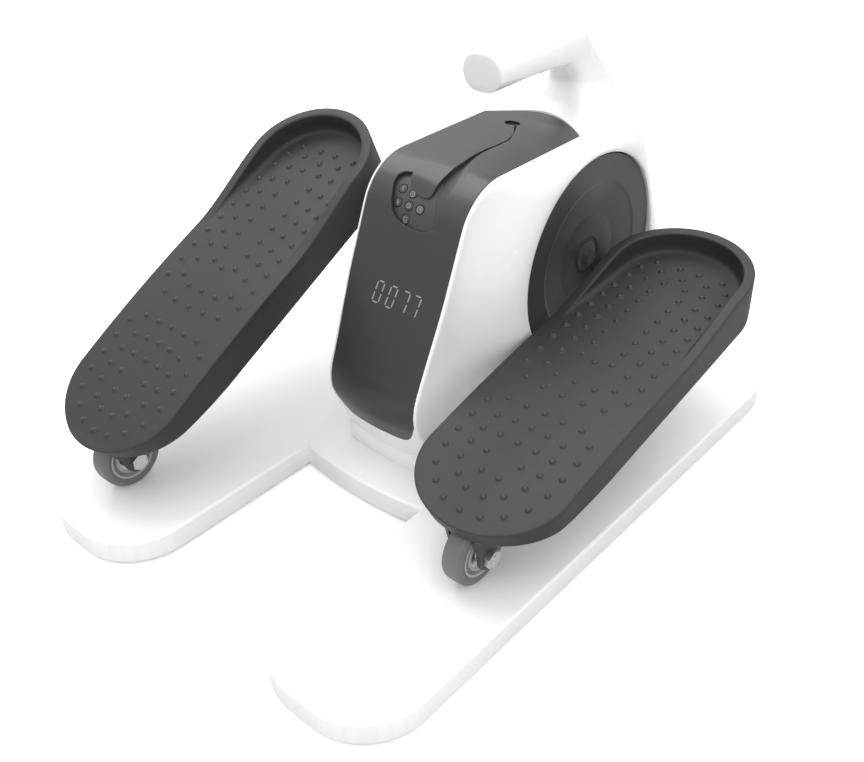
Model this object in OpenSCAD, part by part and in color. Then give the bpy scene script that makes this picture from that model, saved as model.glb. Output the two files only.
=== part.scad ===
// Seated stepper: a flat U-shaped base carries a drive housing with a carrying handle.
// Two foot pedals hang on crank pins at the rear and roll on the base at the front.
// Frame: origin on the floor under the centre of the base, +Z up, front of the machine towards -Y.

/* [Base] */
// Overall width of the base plate
base_width = 352; // [340:1:380]
// Overall length of the base plate
base_length = 509; // [500:1:530]
// Thickness of the base plate
base_thick = 18.5; // [16:0.5:22]
// Height of the rubber feet below the plate
foot_height = 2; // [1:0.5:4]
// Width of each front rail that a pedal rolls on
rail_width = 116; // [110:1:120]
// Distance from the rear edge of the base to the front cut-out
base_back = 335; // [325:1:345]

/* [Drive] */
// Distance of the crank axis behind the centre of the base
crank_y = 115.5; // [110:0.5:120]
// Height of the crank axis above the floor
crank_z = 148; // [146:0.5:150]
// Radius of the crank pin circle
crank_radius = 70; // [60:1:72]
// Crank position of the right pedal, degrees above the rearward direction
crank_angle = -33.4; // [-60:0.1:60]
// Radius of the round opening in each side cover
opening_radius = 82; // [82:0.5:84]
// Radius of the crank shaft
shaft_radius = 8.5; // [7:0.5:9]
// Running clearance on the radius of every bearing bore
clearance = 0.05; // [0.03:0.01:0.09]

/* [Housing] */
// Half width of the housing behind the front panel
shell_half = 50; // [48:1:52]
// Half width of the housing at the side openings
ring_half = 68; // [67:0.5:68]
// Wall thickness of the covers
wall = 3; // [2.5:0.1:3.5]
// Half width of the dark front panel
panel_half = 45; // [42:1:46]
// Half width of the carrying handle
grip_half = 17; // [15:1:20]

/* [Pedals] */
// Length of a pedal
pedal_length = 325; // [300:1:330]
// Width of a pedal
pedal_width = 114; // [100:1:116]
// Distance of each pedal's centre line from the middle of the machine
pedal_x = 127.5; // [127.5:0.5:135]
// Height of the toe rim above the tread
rim_height = 16; // [10:1:20]
// Depth of the pedal's side wall below the tread
skirt_depth = 27; // [24:1:30]
// Distance from the roller axle to the crank pin along the pedal
reach = 289; // [280:1:295]

/* [Rollers] */
// Radius of the front rollers
roller_radius = 24.8; // [20:0.1:24.8]
// Width of the front rollers
roller_width = 17; // [14:1:18]
// Radius of the roller axle
axle_radius = 4; // [3:0.5:5]

/* [Hidden] */
$fn = 64;
fit = 0.02;                            // gap between parts fixed together
gap = 0.05;                            // gap between neighbouring parts
split = 0.05;                          // gap at the joint between the two covers, each side
base_top = foot_height + base_thick;
rail_inner = base_width / 2 - rail_width;
cut_y = base_length / 2 - base_back;   // front edge of the middle of the base
crank_at = [crank_y, crank_z];
motor_at = [36, 94];
disc_radius = opening_radius - 1;
large_radius = 60;                     // belt seats of the two pulleys
small_radius = 14;
plate_inner = 28;                      // faces of the upright side plates
plate_outer = 32;
flange = 4;                            // thickness of the side plates' feet
axle_z = base_top + 25;

// Side outline of the housing, corners [y, z, radius], counter-clockwise
housing_floor = 36;
housing_top = 238.7;
housing_back = 246;
bend_radius = 45;                      // bend from the front slope to the top
body_corners = [
  [-47, housing_floor, 6], [housing_back, housing_floor, 6], [housing_back, 125, 60],
  [186, housing_top, 40], [-3.1, housing_top, bend_radius], [-69.2, 83.1, 40]];
slope_angle = 67.4;
slope_start = [-66.3, 90];             // [y, z] low on the slope
bend_start = 131.6;                    // distances along the slope
key_distance = 137;
display_distance = 67;

// Positions: [y, z] in side view, [x, y] in plan
screw_at = [[-45, 64], [-8, 192], [222, 62], [222, 150]];
spacer_at = [[170, 120], [40, 140], [185, 40]];
board_post_at = [for (y = [-4, 66]) for (z = [51, 104]) [y, z]];
foot_at = [for (s = [-1, 1]) for (p = [[138, -220], [96, -30], [138, 215]]) [s * p[0], p[1]]];
bolt_at = [for (s = [-1, 1]) for (y = [0, 70, 190]) [s * 20, y]];
// Buttons, [across, up] on the keypad: centre, left, right, down, up, power
key_at = [[-7.5, 0], [-18, 0], [3, 0], [-7.5, -10], [-7.5, 10], [-18, 11]];

// Pedal's own frame: x across, y from the heel end, z above the tread
axle_local = [15, -44];                // roller axle [y, z]
pin_local = [axle_local[0] + reach, -37];
arm_rise = pin_local[1] - axle_local[1];
arm_length = sqrt(pow(reach, 2) + pow(arm_rise, 2));
arm_angle = atan2(arm_rise, reach);
pin_radius = 7;                        // crank pin bore
deck_under = -7;                       // underside of the tray's deck
mount_z = deck_under - 3 - gap;        // bottom of the plates screwed below the deck
tray_screw_at = [for (x = [-22, 22]) for (y = [90, 200, 262]) [x, y]];
fork_screw_at = [[-8, 44], [17, 44]];

white = [0.93, 0.93, 0.93];
black = [0.1, 0.1, 0.1];
smoke = [0.2, 0.2, 0.21];
green = [0.1, 0.35, 0.2];
zinc = [0.7, 0.7, 0.72];
ground_steel = [0.72, 0.72, 0.74];
bearing_steel = [0.75, 0.76, 0.78];
screw_steel = [0.6, 0.6, 0.62];
plate_steel = [0.42, 0.43, 0.45];

// ---- functions (s = 1 right side, s = -1 left side) -------------------------
function unit(v) = v / norm(v);
function wrap(list, i) = list[(i + len(list)) % len(list)];
// counter-clockwise outline of [x, y, radius] corners, moved inwards by d
function inset(corners, d) = [for (i = [0:len(corners) - 1])
  let (before = wrap(corners, i - 1), here = corners[i], after = wrap(corners, i + 1),
       u = unit([here[0] - before[0], here[1] - before[1]]),
       v = unit([after[0] - here[0], after[1] - here[1]]),
       normal_u = [-u[1], u[0]], normal_v = [-v[1], v[0]],
       k = d / (1 + normal_u * normal_v))
  [here[0] + (normal_u[0] + normal_v[0]) * k, here[1] + (normal_u[1] + normal_v[1]) * k,
   max(here[2] - d, 0.2)]];
// closed outline with each corner [x, y, radius] rounded in the given number of steps
function rounded(corners, steps) = [for (i = [0:len(corners) - 1])
  let (before = wrap(corners, i - 1), here = corners[i], after = wrap(corners, i + 1),
       u = unit([before[0] - here[0], before[1] - here[1]]),
       v = unit([after[0] - here[0], after[1] - here[1]]),
       half = acos(u * v) / 2, r = here[2], tip = [here[0], here[1]],
       centre = tip + unit(u + v) * (r / sin(half)),
       first = tip + u * (r / tan(half)) - centre,
       last = tip + v * (r / tan(half)) - centre,
       start = atan2(first[1], first[0]), raw = atan2(last[1], last[0]) - start,
       turn = raw > 180 ? raw - 360 : raw < -180 ? raw + 360 : raw)
  for (k = [0:steps])
    let (a = start + turn * k / steps) centre + r * [cos(a), sin(a)]];
// pedal outline moved inwards by d: straight sides and two flattened round ends
function sole(d = 0) =
  let (steps = 28, end = 52, across = pedal_width / 2 - d, along = end - d) concat(
    [for (k = [0:steps]) let (t = 180 + 180 * k / steps)
      [across * cos(t), end + along * sin(t)]],
    [for (k = [0:steps]) let (t = 180 * k / steps)
      [across * cos(t), pedal_length - end + along * sin(t)]]);
// smooth step from 0 to 1
function ease(t) = let (c = min(max(t, 0), 1)) c * c * (3 - 2 * c);
// [radius, x] profile put on side s
function sided(s, points) = [for (p = points) [p[0], s * p[1]]];
function pin_y(s) = crank_y + s * crank_radius * cos(crank_angle);
function pin_z(s) = crank_z + s * crank_radius * sin(crank_angle);
function axle_y(s) = pin_y(s) - sqrt(pow(arm_length, 2) - pow(pin_z(s) - axle_z, 2));
function pitch(s) = asin((pin_z(s) - axle_z) / arm_length) - arm_angle;

// ---- helpers ---------------------------------------------------------------
// extrude a [y, z] drawing from x0 to x1
module along_x(x0, x1)
  translate([x0, 0, 0]) rotate([90, 0, 90]) linear_extrude(x1 - x0) children();
// cylinder along x, axis at [y, z]
module rod(x0, x1, axis, r, sides = 48)
  translate([x0, axis[0], axis[1]]) rotate([0, 90, 0]) cylinder(h = x1 - x0, r = r, $fn = sides);
// rod between two distances from the middle, on side s
module side_rod(s, near, far, axis, r, sides = 48)
  rod(s > 0 ? near : -far, s > 0 ? far : -near, axis, r, sides);
// [radius, x] profile turned about an axis along x at [y, z]
module turned(axis, profile)
  translate([0, axis[0], axis[1]]) rotate([90, 0, 90]) rotate_extrude($fn = 96) polygon(profile);
module at_each(points) for (p = points) translate([p[0], p[1], 0]) children();
module on_side(s) mirror([s < 0 ? 1 : 0, 0, 0]) children();
// block centred in x and y, bottom at z
module slab(width, length, z, thick)
  translate([-width / 2, -length / 2, z]) cube([width, length, thick]);
// rectangle with separate front and back corner radii
module round_rect(x0, y0, x1, y1, front, back) {
  for (c = [[x0, y0, front, 1, 1], [x1, y0, front, -1, 1],
            [x0, y1, back, 1, -1], [x1, y1, back, -1, -1]])
    translate([c[0] + c[3] * c[2], c[1] + c[4] * c[2]]) circle(r = c[2]);
  translate([x0, y0 + front]) square([x1 - x0, y1 - y0 - front - back]);
  translate([x0 + front, y0]) square([x1 - x0 - 2 * front, front + 0.01]);
  translate([x0 + back, y1 - back - 0.01]) square([x1 - x0 - 2 * back, back + 0.01]);
}
// display place on the slope: x across, y up the slope, z outwards
module on_display()
  translate([0, slope_start[0] + display_distance * cos(slope_angle),
             slope_start[1] + display_distance * sin(slope_angle)])
    rotate([slope_angle, 0, 0]) children();
// keypad place on the bend above the slope
module on_key() {
  tilt = slope_angle - (key_distance - bend_start) / bend_radius * 180 / PI;
  centre_y = slope_start[0] + bend_start * cos(slope_angle) + bend_radius * sin(slope_angle);
  centre_z = slope_start[1] + bend_start * sin(slope_angle) - bend_radius * cos(slope_angle);
  translate([0, centre_y - bend_radius * sin(tilt), centre_z + bend_radius * cos(tilt)])
    rotate([tilt, 0, 0]) children();
}
module on_pedal(s)
  translate([s * pedal_x, axle_y(s), axle_z]) rotate([pitch(s), 0, 0])
    translate([0, -axle_local[0], -axle_local[1]]) on_side(s) children();
// roller centre, set outwards of the pedal's centre line
module on_axle(s) translate([s * (pedal_x + 4.5), axle_y(s), axle_z]) on_side(s) children();

// ---- base ------------------------------------------------------------------
// plan of the base, moved inwards by d
module base_outline(d = 0) {
  front = 48 - d;
  back = 50 - d;
  bow_radius = 336;
  side = base_width / 2 - d;
  rear = base_length / 2 - d;
  for (s = [0, 1]) mirror([s, 0])
    round_rect(rail_inner + d, -base_length / 2 + d, side, rear, front, back);
  round_rect(-side, cut_y + d, side, rear, 0.5, back);
  // bowed front edge between the rails
  intersection() {
    translate([0, cut_y - 5.4 + bow_radius]) circle(r = bow_radius - d, $fn = 200);
    translate([-rail_inner - d, cut_y - 20]) square([2 * (rail_inner + d), 60]);
  }
}
module bolt_holes() at_each(bolt_at) cylinder(h = 40, r = 3.3);
module base_plate() color(white) difference() {
  translate([0, 0, foot_height]) linear_extrude(base_thick) base_outline();
  // hollow underside, leaving foot bosses and ribs
  difference() {
    translate([0, 0, foot_height - 1]) linear_extrude(base_thick - 3) base_outline(4);
    at_each(foot_at) cylinder(h = 30, r = 15);
    for (y = [-60 : 60 : 240]) translate([-170, y - 1.5, 0]) cube([340, 3, 30]);
    for (x = [-118, -62, 62, 118]) translate([x - 1.5, -250, 0]) cube([3, 500, 30]);
  }
  at_each(foot_at) translate([0, 0, foot_height - 1]) cylinder(h = 9, r = 4);
  bolt_holes();
  translate([-56, -58, 0]) cube([112, 266, foot_height + 7.1]);
}
module base_frame() color([0.45, 0.46, 0.48]) difference() {
  translate([-55, -56, foot_height + 3]) cube([110, 260, 4]);
  bolt_holes();
  for (y = [35, 130]) translate([0, y, 0]) cylinder(h = 40, r = 12);
}
module rubber_feet() color([0.12, 0.12, 0.12]) at_each(foot_at) {
  cylinder(h = foot_height, r = 12);
  cylinder(h = foot_height + 7, r = 3.95);
}
module base_bolts() color(zinc) at_each(bolt_at) {
  translate([0, 0, foot_height]) cylinder(h = 3, r = 5, $fn = 6);
  translate([0, 0, foot_height + 2]) cylinder(h = base_top + flange - foot_height, r = 3);
  translate([0, 0, base_top + flange]) cylinder(h = 4.8, r = 5.2, $fn = 6);
}
module plinth() color([0.88, 0.88, 0.88])
  translate([0, 0, base_top]) linear_extrude(housing_floor - base_top) difference() {
    round_rect(-46, -46, 46, 240, 14, 20);
    round_rect(-43, -43, 43, 237, 11, 17);
  }

// ---- housing ---------------------------------------------------------------
grip_radius = 13.5;
grip_bore = 10.2;
plug_radius = 10.1;
grip_z = 291.5;
grip_offset = grip_half - grip_radius; // x of the grip's rounded side
// Side outline of the handle arm, corners [y, z, radius]
arm_corners = [
  [118, 278, 0.5], [150, 278, 11], [159, 262, 11], [146, 236, 6], [150, 152, 1],
  [225, 141, 1], [238, 191, 40], [206, 262, 60], [166, 306, 26], [118, 305, 0.5]];
// Side outline of the space inside the arm, corners [y, z, radius]
arm_hollow_corners = [
  [152, 284, 1], [166, 262, 6], [172, 206, 2], [220, 206, 2],
  [200, 258, 20], [166, 296, 10], [152, 296, 1]];

// right half of the outer form from x0 outwards, its faces moved inwards by d
module half_form(d, x0) {
  intersection() {
    along_x(x0, ring_half - d) polygon(rounded(inset(body_corners, d), 12));
    union() {
      along_x(x0, shell_half - d) translate([-90, 0]) square([360, 260]);
      translate([shell_half - d - 4, crank_y, crank_z]) rotate([0, 90, 0])
        cylinder(h = ring_half - shell_half + 4, r1 = 132 - d, r2 = 91 - d, $fn = 128);
    }
  }
}
// right half of the handle: arm, its widening foot, and grip
module arm_form() {
  along_x(split, grip_half) polygon(rounded(arm_corners, 8));
  hull() {
    along_x(split, grip_half) polygon([[172, 256], [208, 256], [208, 254], [172, 254]]);
    along_x(split, 44) polygon([[151, 157], [223, 157], [223, 153], [151, 153]]);
  }
  translate([0, 62.5, grip_z]) rotate([-90, 0, 0]) intersection() {
    union() {
      translate([grip_offset, 0, 0]) cylinder(h = 60, r = grip_radius);
      translate([split, -grip_radius, 0]) cube([grip_offset - split, 2 * grip_radius, 60]);
    }
    translate([split, -20, -1]) cube([30, 40, 70]);
  }
}
module arm_hollow() {
  along_x(-1, grip_half - 4) polygon(rounded(arm_hollow_corners, 6));
  translate([-1, 62, grip_z - grip_bore]) cube([grip_offset + 1, 91, 2 * grip_bore]);
  translate([grip_offset, 62, grip_z]) rotate([-90, 0, 0]) cylinder(h = 91, r = grip_bore);
}
// band along the slope and the front of the top, between depths d0 and d1
module panel_band(x0, x1, d0, d1)
  along_x(x0, x1) difference() {
    polygon(rounded(inset(body_corners, d0), 12));
    polygon(rounded(inset(body_corners, d1), 12));
    translate([141, 0]) square([200, 300]);
    translate([-80, 0]) square([300, 44]);
    translate([-20, 0]) square([300, 180]);
  }
// hollow cover half with its handle half and screw bosses
module cover_half(s) {
  difference() {
    union() {
      half_form(0, split);
      arm_form();
    }
    half_form(wall + 2.6, -1);
    // thinner wall at the sides, beyond the front panel
    intersection() {
      half_form(wall, -1);
      translate([panel_half + 1.5, -100, 0]) cube([60, 400, 300]);
    }
    arm_hollow();
  }
  for (p = screw_at) intersection() {
    difference() {
      rod(split, 66, p, 5.4);
      rod(-1, s > 0 ? 20 : 80, p, 2.05, 24);
    }
    half_form(0.5, 0);
  }
}
// cover half in right-hand position, with all openings of side s
module half_housing(s) difference() {
  union() cover_half(s);
  translate([-1, 0, 0]) panel_band(0, panel_half + 1, -1, 2.6);
  rod(30, 80, crank_at, opening_radius, 128);
  translate([-1, -38, 30]) cube([44.5, 272, 16]);
  on_display() translate([-1, -15, -12]) cube([33, 30, 14]);
  on_key() translate([-30, -17, -14]) cube([60, 36, 16]);
  if (s > 0) {
    // switch opening
    translate([9, 230, 49]) cube([22, 30, 28]);
  } else {
    // inlet opening and countersunk screw holes
    translate([7, 230, 50]) cube([28, 30, 22]);
    for (p = screw_at) {
      rod(-1, 80, p, 2.05, 24);
      rod(45, 80, p, 4.4, 32);
    }
  }
}
module left_housing() color(white) on_side(-1) half_housing(-1);
module right_housing() color(white) half_housing(1);
module handle_end_cap() color([0.9, 0.9, 0.9]) {
  face = 1.45;
  plug = 5;
  translate([0, 61, grip_z]) rotate([-90, 0, 0]) {
    for (s = [-1, 1]) translate([s * grip_offset, 0, 0]) {
      cylinder(h = face, r = grip_radius);
      cylinder(h = plug, r = plug_radius);
    }
    slab(2 * grip_offset, 2 * grip_radius, 0, face);
    slab(2 * grip_offset, 2 * plug_radius, 0, plug);
  }
}
module housing_screws() color(screw_steel) for (p = screw_at) {
  rod(-45, -41.5, p, 1.98, 24);
  rod(-48, -45, p, 4, 32);
  rod(-42, 14, p, 1.98, 24);
}

// ---- front panel -----------------------------------------------------------
module front_panel() color([0.28, 0.285, 0.29]) difference() {
  panel_band(-panel_half + 0.4, panel_half - 0.4, 0, 2.5);
  on_display() slab(60, 26, -10, 20);
  on_key() translate([-26.5, -15, -10]) cube([50, 32, 20]);
  // round hole in the top
  translate([-11.4, 112.4, 230]) cylinder(h = 20, r = 4.5);
}
module display_window() color(smoke) on_display() slab(59.6, 25.6, -2.5, 2.4);
module display_board() color(green) on_display() difference() {
  slab(62, 28, -9, 1.6);
  for (x = [-27, 27]) for (y = [-11.5, 11.5]) translate([x, y, -12]) cylinder(h = 8, r = 1.2);
}
// one seven-segment digit; lit holds 0 or 1 for each entry of segments
module digit(lit) {
  width = 9;
  height = 18;
  // [x, y, angle]: clockwise from the top bar, then the middle bar
  segments = [
    [0, height / 2, 0], [width / 2, height / 4, 90], [width / 2, -height / 4, 90],
    [0, -height / 2, 0], [-width / 2, -height / 4, 90], [-width / 2, height / 4, 90], [0, 0, 0]];
  for (i = [0:6]) if (lit[i] > 0)
    translate([segments[i][0], segments[i][1], 0]) rotate(segments[i][2])
      slab((segments[i][2] == 90 ? height / 2 : width) - 2.4, 1.6, 0, 3);
}
module display_segments() color([0.75, 0.78, 0.8]) {
  zero = [1, 1, 1, 1, 1, 1, 0];
  seven = [1, 1, 1, 0, 0, 0, 0];
  shown = [zero, zero, seven, seven];
  on_display() for (i = [0:3]) translate([-20 + 13.5 * i, 0, -7.4]) digit(shown[i]);
}
module keypad_plate() color(smoke) on_key() difference() {
  translate([-26, -14.6, -5]) cube([49, 31, 2]);
  at_each(key_at) translate([0, 0, -8]) cylinder(h = 8, r = 3.8);
}
module button(i) color([0.32, 0.32, 0.33]) on_key() at_each([key_at[i]]) {
  translate([0, 0, -5.6]) cylinder(h = 3.8, r = 3.7);
  translate([0, 0, -6.6]) cylinder(h = 1.5, r = 4.5);
}
module button_centre() button(0);
module button_left() button(1);
module button_right() button(2);
module button_down() button(3);
module button_up() button(4);
module button_power() button(5);

// ---- rear fittings ---------------------------------------------------------
module power_inlet() color(black) difference() {
  union() {
    translate([-34.9, housing_back, 48.1]) cube([27.8, 2, 25.8]);
    translate([-34.9, 229, 50.1]) cube([27.8, 17.5, 21.8]);
  }
  for (s = [-1, 1])
    translate([-21 + s * 4.2, 232, 61]) rotate([-90, 0, 0]) cylinder(h = 20, r = 4.6);
}
module switch_bezel() color(black) difference() {
  union() {
    translate([8, housing_back, 47]) cube([24, 1.8, 32]);
    translate([9.1, 228, 49.1]) cube([21.8, 18.5, 27.8]);
  }
  translate([12, 229, 51.5]) cube([16, 30, 23]);
}
// rocker with a round back and a shallow V-shaped face
module power_switch() color([0.15, 0.15, 0.15])
  along_x(12.2, 27.8) intersection() {
    translate([241, 63]) circle(r = 10.9, $fn = 64);
    polygon([[231, 52], [248.6, 52], [245.4, 63], [248.6, 74], [231, 74]]);
  }

// ---- chassis and drive -----------------------------------------------------
bearing_radius = 20;
motor_radius = 27;
motor_shaft = 7;                       // radius
belt_seat = 0.25;                      // gap between the belt and the pulleys
// Side plate outline, corners [y, z, radius]
plate_corners = [
  [-28, base_top, 1], [208, base_top, 1], [156, 184, 26], [78, 184, 26], [-28, 118, 14]];

module side_plate(s) on_side(s) color(plate_steel) difference() {
  union() {
    along_x(plate_inner, plate_outer) polygon(rounded(plate_corners, 8));
    translate([12, -20, base_top]) cube([17, 220, flange]);
  }
  rod(0, 60, crank_at, bearing_radius + fit);
  rod(0, 60, motor_at, 13);
  rod(0, 60, [150, 70], 22);
  rod(0, 60, [80, 62], 16);
  for (y = [0, 70, 190]) translate([20, y, 0]) cylinder(h = 40, r = 3.3);
  for (p = spacer_at) rod(0, 60, p, 3.1, 32);
}
module left_side_plate() side_plate(-1);
module right_side_plate() side_plate(1);
module spacer_bars() color(zinc) for (p = spacer_at) {
  rod(-plate_inner + fit, plate_inner - fit, p, 6);
  for (s = [-1, 1]) {
    side_rod(s, 27, plate_outer, p, 3, 32);
    side_rod(s, plate_outer, 34.5, p, 5, 6);
  }
}
module shaft_bearings() color(bearing_steel) {
  bore = shaft_radius + clearance;
  profile = [
    [bore, 24], [12, 24], [12, 24.6], [16.5, 24.6], [16.5, 24], [bearing_radius, 24],
    [bearing_radius, 36], [16.5, 36], [16.5, 35.4], [12, 35.4], [12, 36], [bore, 36]];
  for (s = [-1, 1]) turned(crank_at, sided(s, profile));
}
module motor() color([0.55, 0.56, 0.58]) difference() {
  union() {
    rod(-26, 20, motor_at, motor_radius, 64);
    rod(19, 27.9, motor_at, 30, 64);
    rod(27, 34, motor_at, 12);
  }
  rod(26, 40, motor_at, motor_shaft + gap);
  rod(-30, -25, motor_at, 5);
}
module motor_bracket() color(plate_steel) difference() {
  front = motor_at[0] - 32;
  bottom = base_top + flange + fit;
  union() {
    for (x = [-22, 10]) translate([x, front, bottom]) cube([4, 64, motor_at[1] - 46]);
    translate([-22, front, bottom]) cube([44, 18, 3]);
  }
  rod(-40, 40, motor_at, motor_radius + 0.1, 64);
  for (s = [-1, 1]) for (y = [0, 70]) translate([s * 20, y, 0]) cylinder(h = 50, r = 6.5);
}
// outline round both pulleys, d outside their belt seats
module belt_outline(d) hull() {
  translate(crank_at) circle(r = large_radius + d, $fn = 120);
  translate(motor_at) circle(r = small_radius + d, $fn = 60);
}
module drive_belt() color([0.08, 0.08, 0.08]) along_x(41.2, 48.8) difference() {
  belt_outline(2.2);
  belt_outline(belt_seat);
}
module large_pulley() color([0.3, 0.3, 0.31]) {
  bore = shaft_radius + fit;
  rim = large_radius + 3;
  turned(crank_at, [
    [bore, 37.5], [18, 37.5], [18, 42], [50, 42], [50, 39.6], [rim, 39.6], [rim, 41],
    [large_radius, 41], [large_radius, 49], [rim, 49], [rim, 50.4], [50, 50.4], [50, 47],
    [18, 47], [18, 51], [bore, 51]]);
}
module motor_pulley() color(zinc) {
  rim = small_radius + 2;
  turned(motor_at, [
    [0, 38], [rim, 38], [rim, 40.8], [small_radius, 40.8], [small_radius, 49.2],
    [rim, 49.2], [rim, 51], [0, 51]]);
  rod(27, 39, motor_at, motor_shaft - fit);
}
module control_board() color(green) {
  difference() {
    translate([-40, -10, 45]) cube([1.6, 84, 66]);
    for (p = board_post_at) rod(-60, -20, p, 1.6, 24);
  }
  // square components: [y, z, size]
  for (c = [[4, 60, 12], [30, 62, 16], [50, 90, 10]])
    translate([-43.8, c[0], c[1]]) cube([4, c[2], c[2]]);
  for (p = board_post_at) difference() {
    rod(-38.4, -plate_outer - gap, p, 3.5, 24);
    rod(-50, -20, p, 1.5, 24);
  }
}
module speed_sensor() color([0.1, 0.3, 0.45])
  translate([plate_outer + gap, crank_y - 6, crank_z - 52]) cube([2.6, 12, 20]);
module sensor_magnet() color([0.75, 0.75, 0.76])
  rod(35.9, 41.95, [crank_y, crank_z - 42], 4, 32);
module crankshaft() color(ground_steel) difference() {
  inside = shaft_radius - 0.5;
  collar = [[inside, 22], [11, 22], [11, 23.9], [inside, 23.9]];
  union() {
    rod(-60, 60, crank_at, shaft_radius, 64);
    for (s = [-1, 1]) turned(crank_at, sided(s, collar));
  }
  for (s = [-1, 1]) side_rod(s, 40, 61, crank_at, 4, 32);
}
module crank_disc(s) color([0.24, 0.24, 0.245]) difference() {
  bore = shaft_radius + fit;
  profile = [
    [bore, 52], [17, 52], [17, 56.5], [30, 56.5], [56, 60.5], [76, 60.5], [76, 57],
    [disc_radius, 57], [disc_radius, 64.4], [disc_radius - 0.6, 65], [58, 65], [34, 61],
    [15, 61], [15, 60], [bore, 60]];
  pin_at = [pin_y(s), pin_z(s)];
  union() {
    turned(crank_at, sided(s, profile));
    side_rod(s, 57, 67.8, pin_at, 9.5);
  }
  side_rod(s, 58.5, 70, pin_at, pin_radius);
}
module left_crank_disc() crank_disc(-1);
module right_crank_disc() crank_disc(1);
module disc_bolts() color(screw_steel) for (s = [-1, 1]) {
  side_rod(s, 60 + gap, 61.55, crank_at, 12);
  side_rod(s, 61.5, 66, crank_at, 6.5, 6);
  side_rod(s, 41, 61, crank_at, 3.97, 32);
}

// ---- pedals, drawn in their own frame ----------------------------------------
module pedal_screw_holes(points)
  at_each(points) translate([0, 0, -20]) cylinder(h = 30, r = 2.6);
// space above the rising rim and below the skirt, whose lower edge rises to the heel
module rim_cut() {
  toe = pedal_length + 20;
  along_x(-80, 80) polygon(concat(
    [[-20, 60], [-20, 0]],
    [for (k = [0:24]) let (y = 170 + k * 5) [y, rim_height * ease((y - 190) / 95)]],
    [[toe, rim_height], [toe, 60]]));
  along_x(-80, 80) polygon([
    [-20, -60], [-20, -11], [0, -13], [30, -19], [62, -24.5], [96, -skirt_depth], [96, -60]]);
}
module pedal_tray(s) color([0.29, 0.295, 0.3]) on_pedal(s) difference() {
  toe = pedal_length + 20;
  translate([0, 0, -skirt_depth]) linear_extrude(skirt_depth + rim_height) polygon(sole());
  rim_cut();
  translate([0, 0, -3]) linear_extrude(60) polygon(sole(9));
  intersection() {
    translate([0, 0, -60]) linear_extrude(60 + deck_under) polygon(sole(4));
    along_x(-80, 80) polygon([[-20, deck_under], [toe, deck_under], [toe, -60], [-20, -60]]);
  }
  pedal_screw_holes(tray_screw_at);
  pedal_screw_holes(fork_screw_at);
}
module tread_mat(s) color([0.31, 0.315, 0.32]) on_pedal(s)
  translate([0, 0, -2.95]) linear_extrude(2.95) polygon(sole(9.2));
module pedal_bracket(s) color([0.25, 0.25, 0.26]) on_pedal(s) difference() {
  pin = pin_local;
  // hanger from the plate down to the crank pin, [y, z]
  hanger = [
    [268, -9], [298, -9], [298, -27.4], [311, -27.4],
    [pin[0] + 9, pin[1]], [pin[0] + 6, pin[1] - 9], [pin[0] - 9, pin[1] - 9]];
  union() {
    translate([-30, 70, mount_z]) cube([60, 225, 3]);
    for (x = [-30, 27]) translate([x, 70, -20]) cube([3, 215, 12]);
    translate([-44, 276, mount_z]) cube([52, 22, 3]);
    along_x(-44, -38) polygon(hanger);
    rod(-50, -26, pin, 9.7);
  }
  rod(-70, -20, pin, pin_radius + fit);
  pedal_screw_holes(tray_screw_at);
}
module crank_pin(s) color(ground_steel) on_pedal(s) {
  rod(69 - pedal_x, -26, pin_local, pin_radius - fit);
  rod(-26, -22, pin_local, 9.5, 6);
}
module bracket_screws(s) color(screw_steel) on_pedal(s)
  at_each(concat(tray_screw_at, fork_screw_at)) {
    translate([0, 0, -12.5]) cylinder(h = 9, r = 2.5);
    translate([0, 0, -13.5]) cylinder(h = 3.4, r = 4.6, $fn = 6);
  }
module roller_fork(s) color(smoke) on_pedal(s) difference() {
  y = axle_local[0];
  z = axle_local[1];
  cheek = [[8, -9], [36, -9], [26, z + 2], [y + 8, z - 2], [y - 8, z - 2], [6, -24]];
  union() {
    translate([-16, 15, mount_z]) cube([41, 39, 3]);
    for (x = [-8.7, 15.2]) {
      along_x(x, x + 2.5) polygon(cheek);
      rod(x, x + 2.5, axle_local, 9.5);
    }
  }
  rod(-30, 40, axle_local, axle_radius + clearance);
  pedal_screw_holes(fork_screw_at);
}

// ---- rollers, centred on their axle ------------------------------------------
hub_radius = 18;
wheel_bearing_radius = 11;
module axle_pin(s) color([0.8, 0.8, 0.82]) on_axle(s) {
  rod(-18.2, 18.2, [0, 0], axle_radius);
  for (t = [-1, 1]) side_rod(t, 13.4, 18, [0, 0], 6.8, 6);
}
module roller_tyre(s) color([0.43, 0.44, 0.45]) {
  half = roller_width / 2;
  edge = 3;                            // radius of the rounded edges
  bore = hub_radius + fit;
  // quarter-round edge, from the end face to the tread
  quarter = [for (k = [0:8]) let (a = k * 11.25)
    [roller_radius - edge + edge * sin(a), half - edge + edge * cos(a)]];
  on_axle(s) turned([0, 0], concat(
    [[bore, -half + 0.8]], sided(-1, quarter),
    [for (k = [8:-1:0]) quarter[k]], [[bore, half - 0.8]]));
}
module roller_hub(s) color([0.58, 0.59, 0.6]) {
  bore = wheel_bearing_radius + fit;
  on_axle(s) turned([0, 0], [
    [bore, -7.5], [13, -7.5], [13, -3], [15.5, -3], [16.4, -7.6], [hub_radius, -7.6],
    [hub_radius, 7.6], [16.4, 7.6], [15.5, 3], [13, 3], [13, 7.5], [bore, 7.5]]);
}
module wheel_bearing(s) color(bearing_steel) {
  bore = axle_radius + clearance;
  outer = wheel_bearing_radius;
  on_axle(s) turned([0, 0], [
    [bore, -7.2], [6, -7.2], [6, -6.6], [9.4, -6.6], [9.4, -7], [outer, -7],
    [outer, 7], [9.4, 7], [9.4, 6.6], [6, 6.6], [6, 7.2], [bore, 7.2]]);
}

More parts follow.
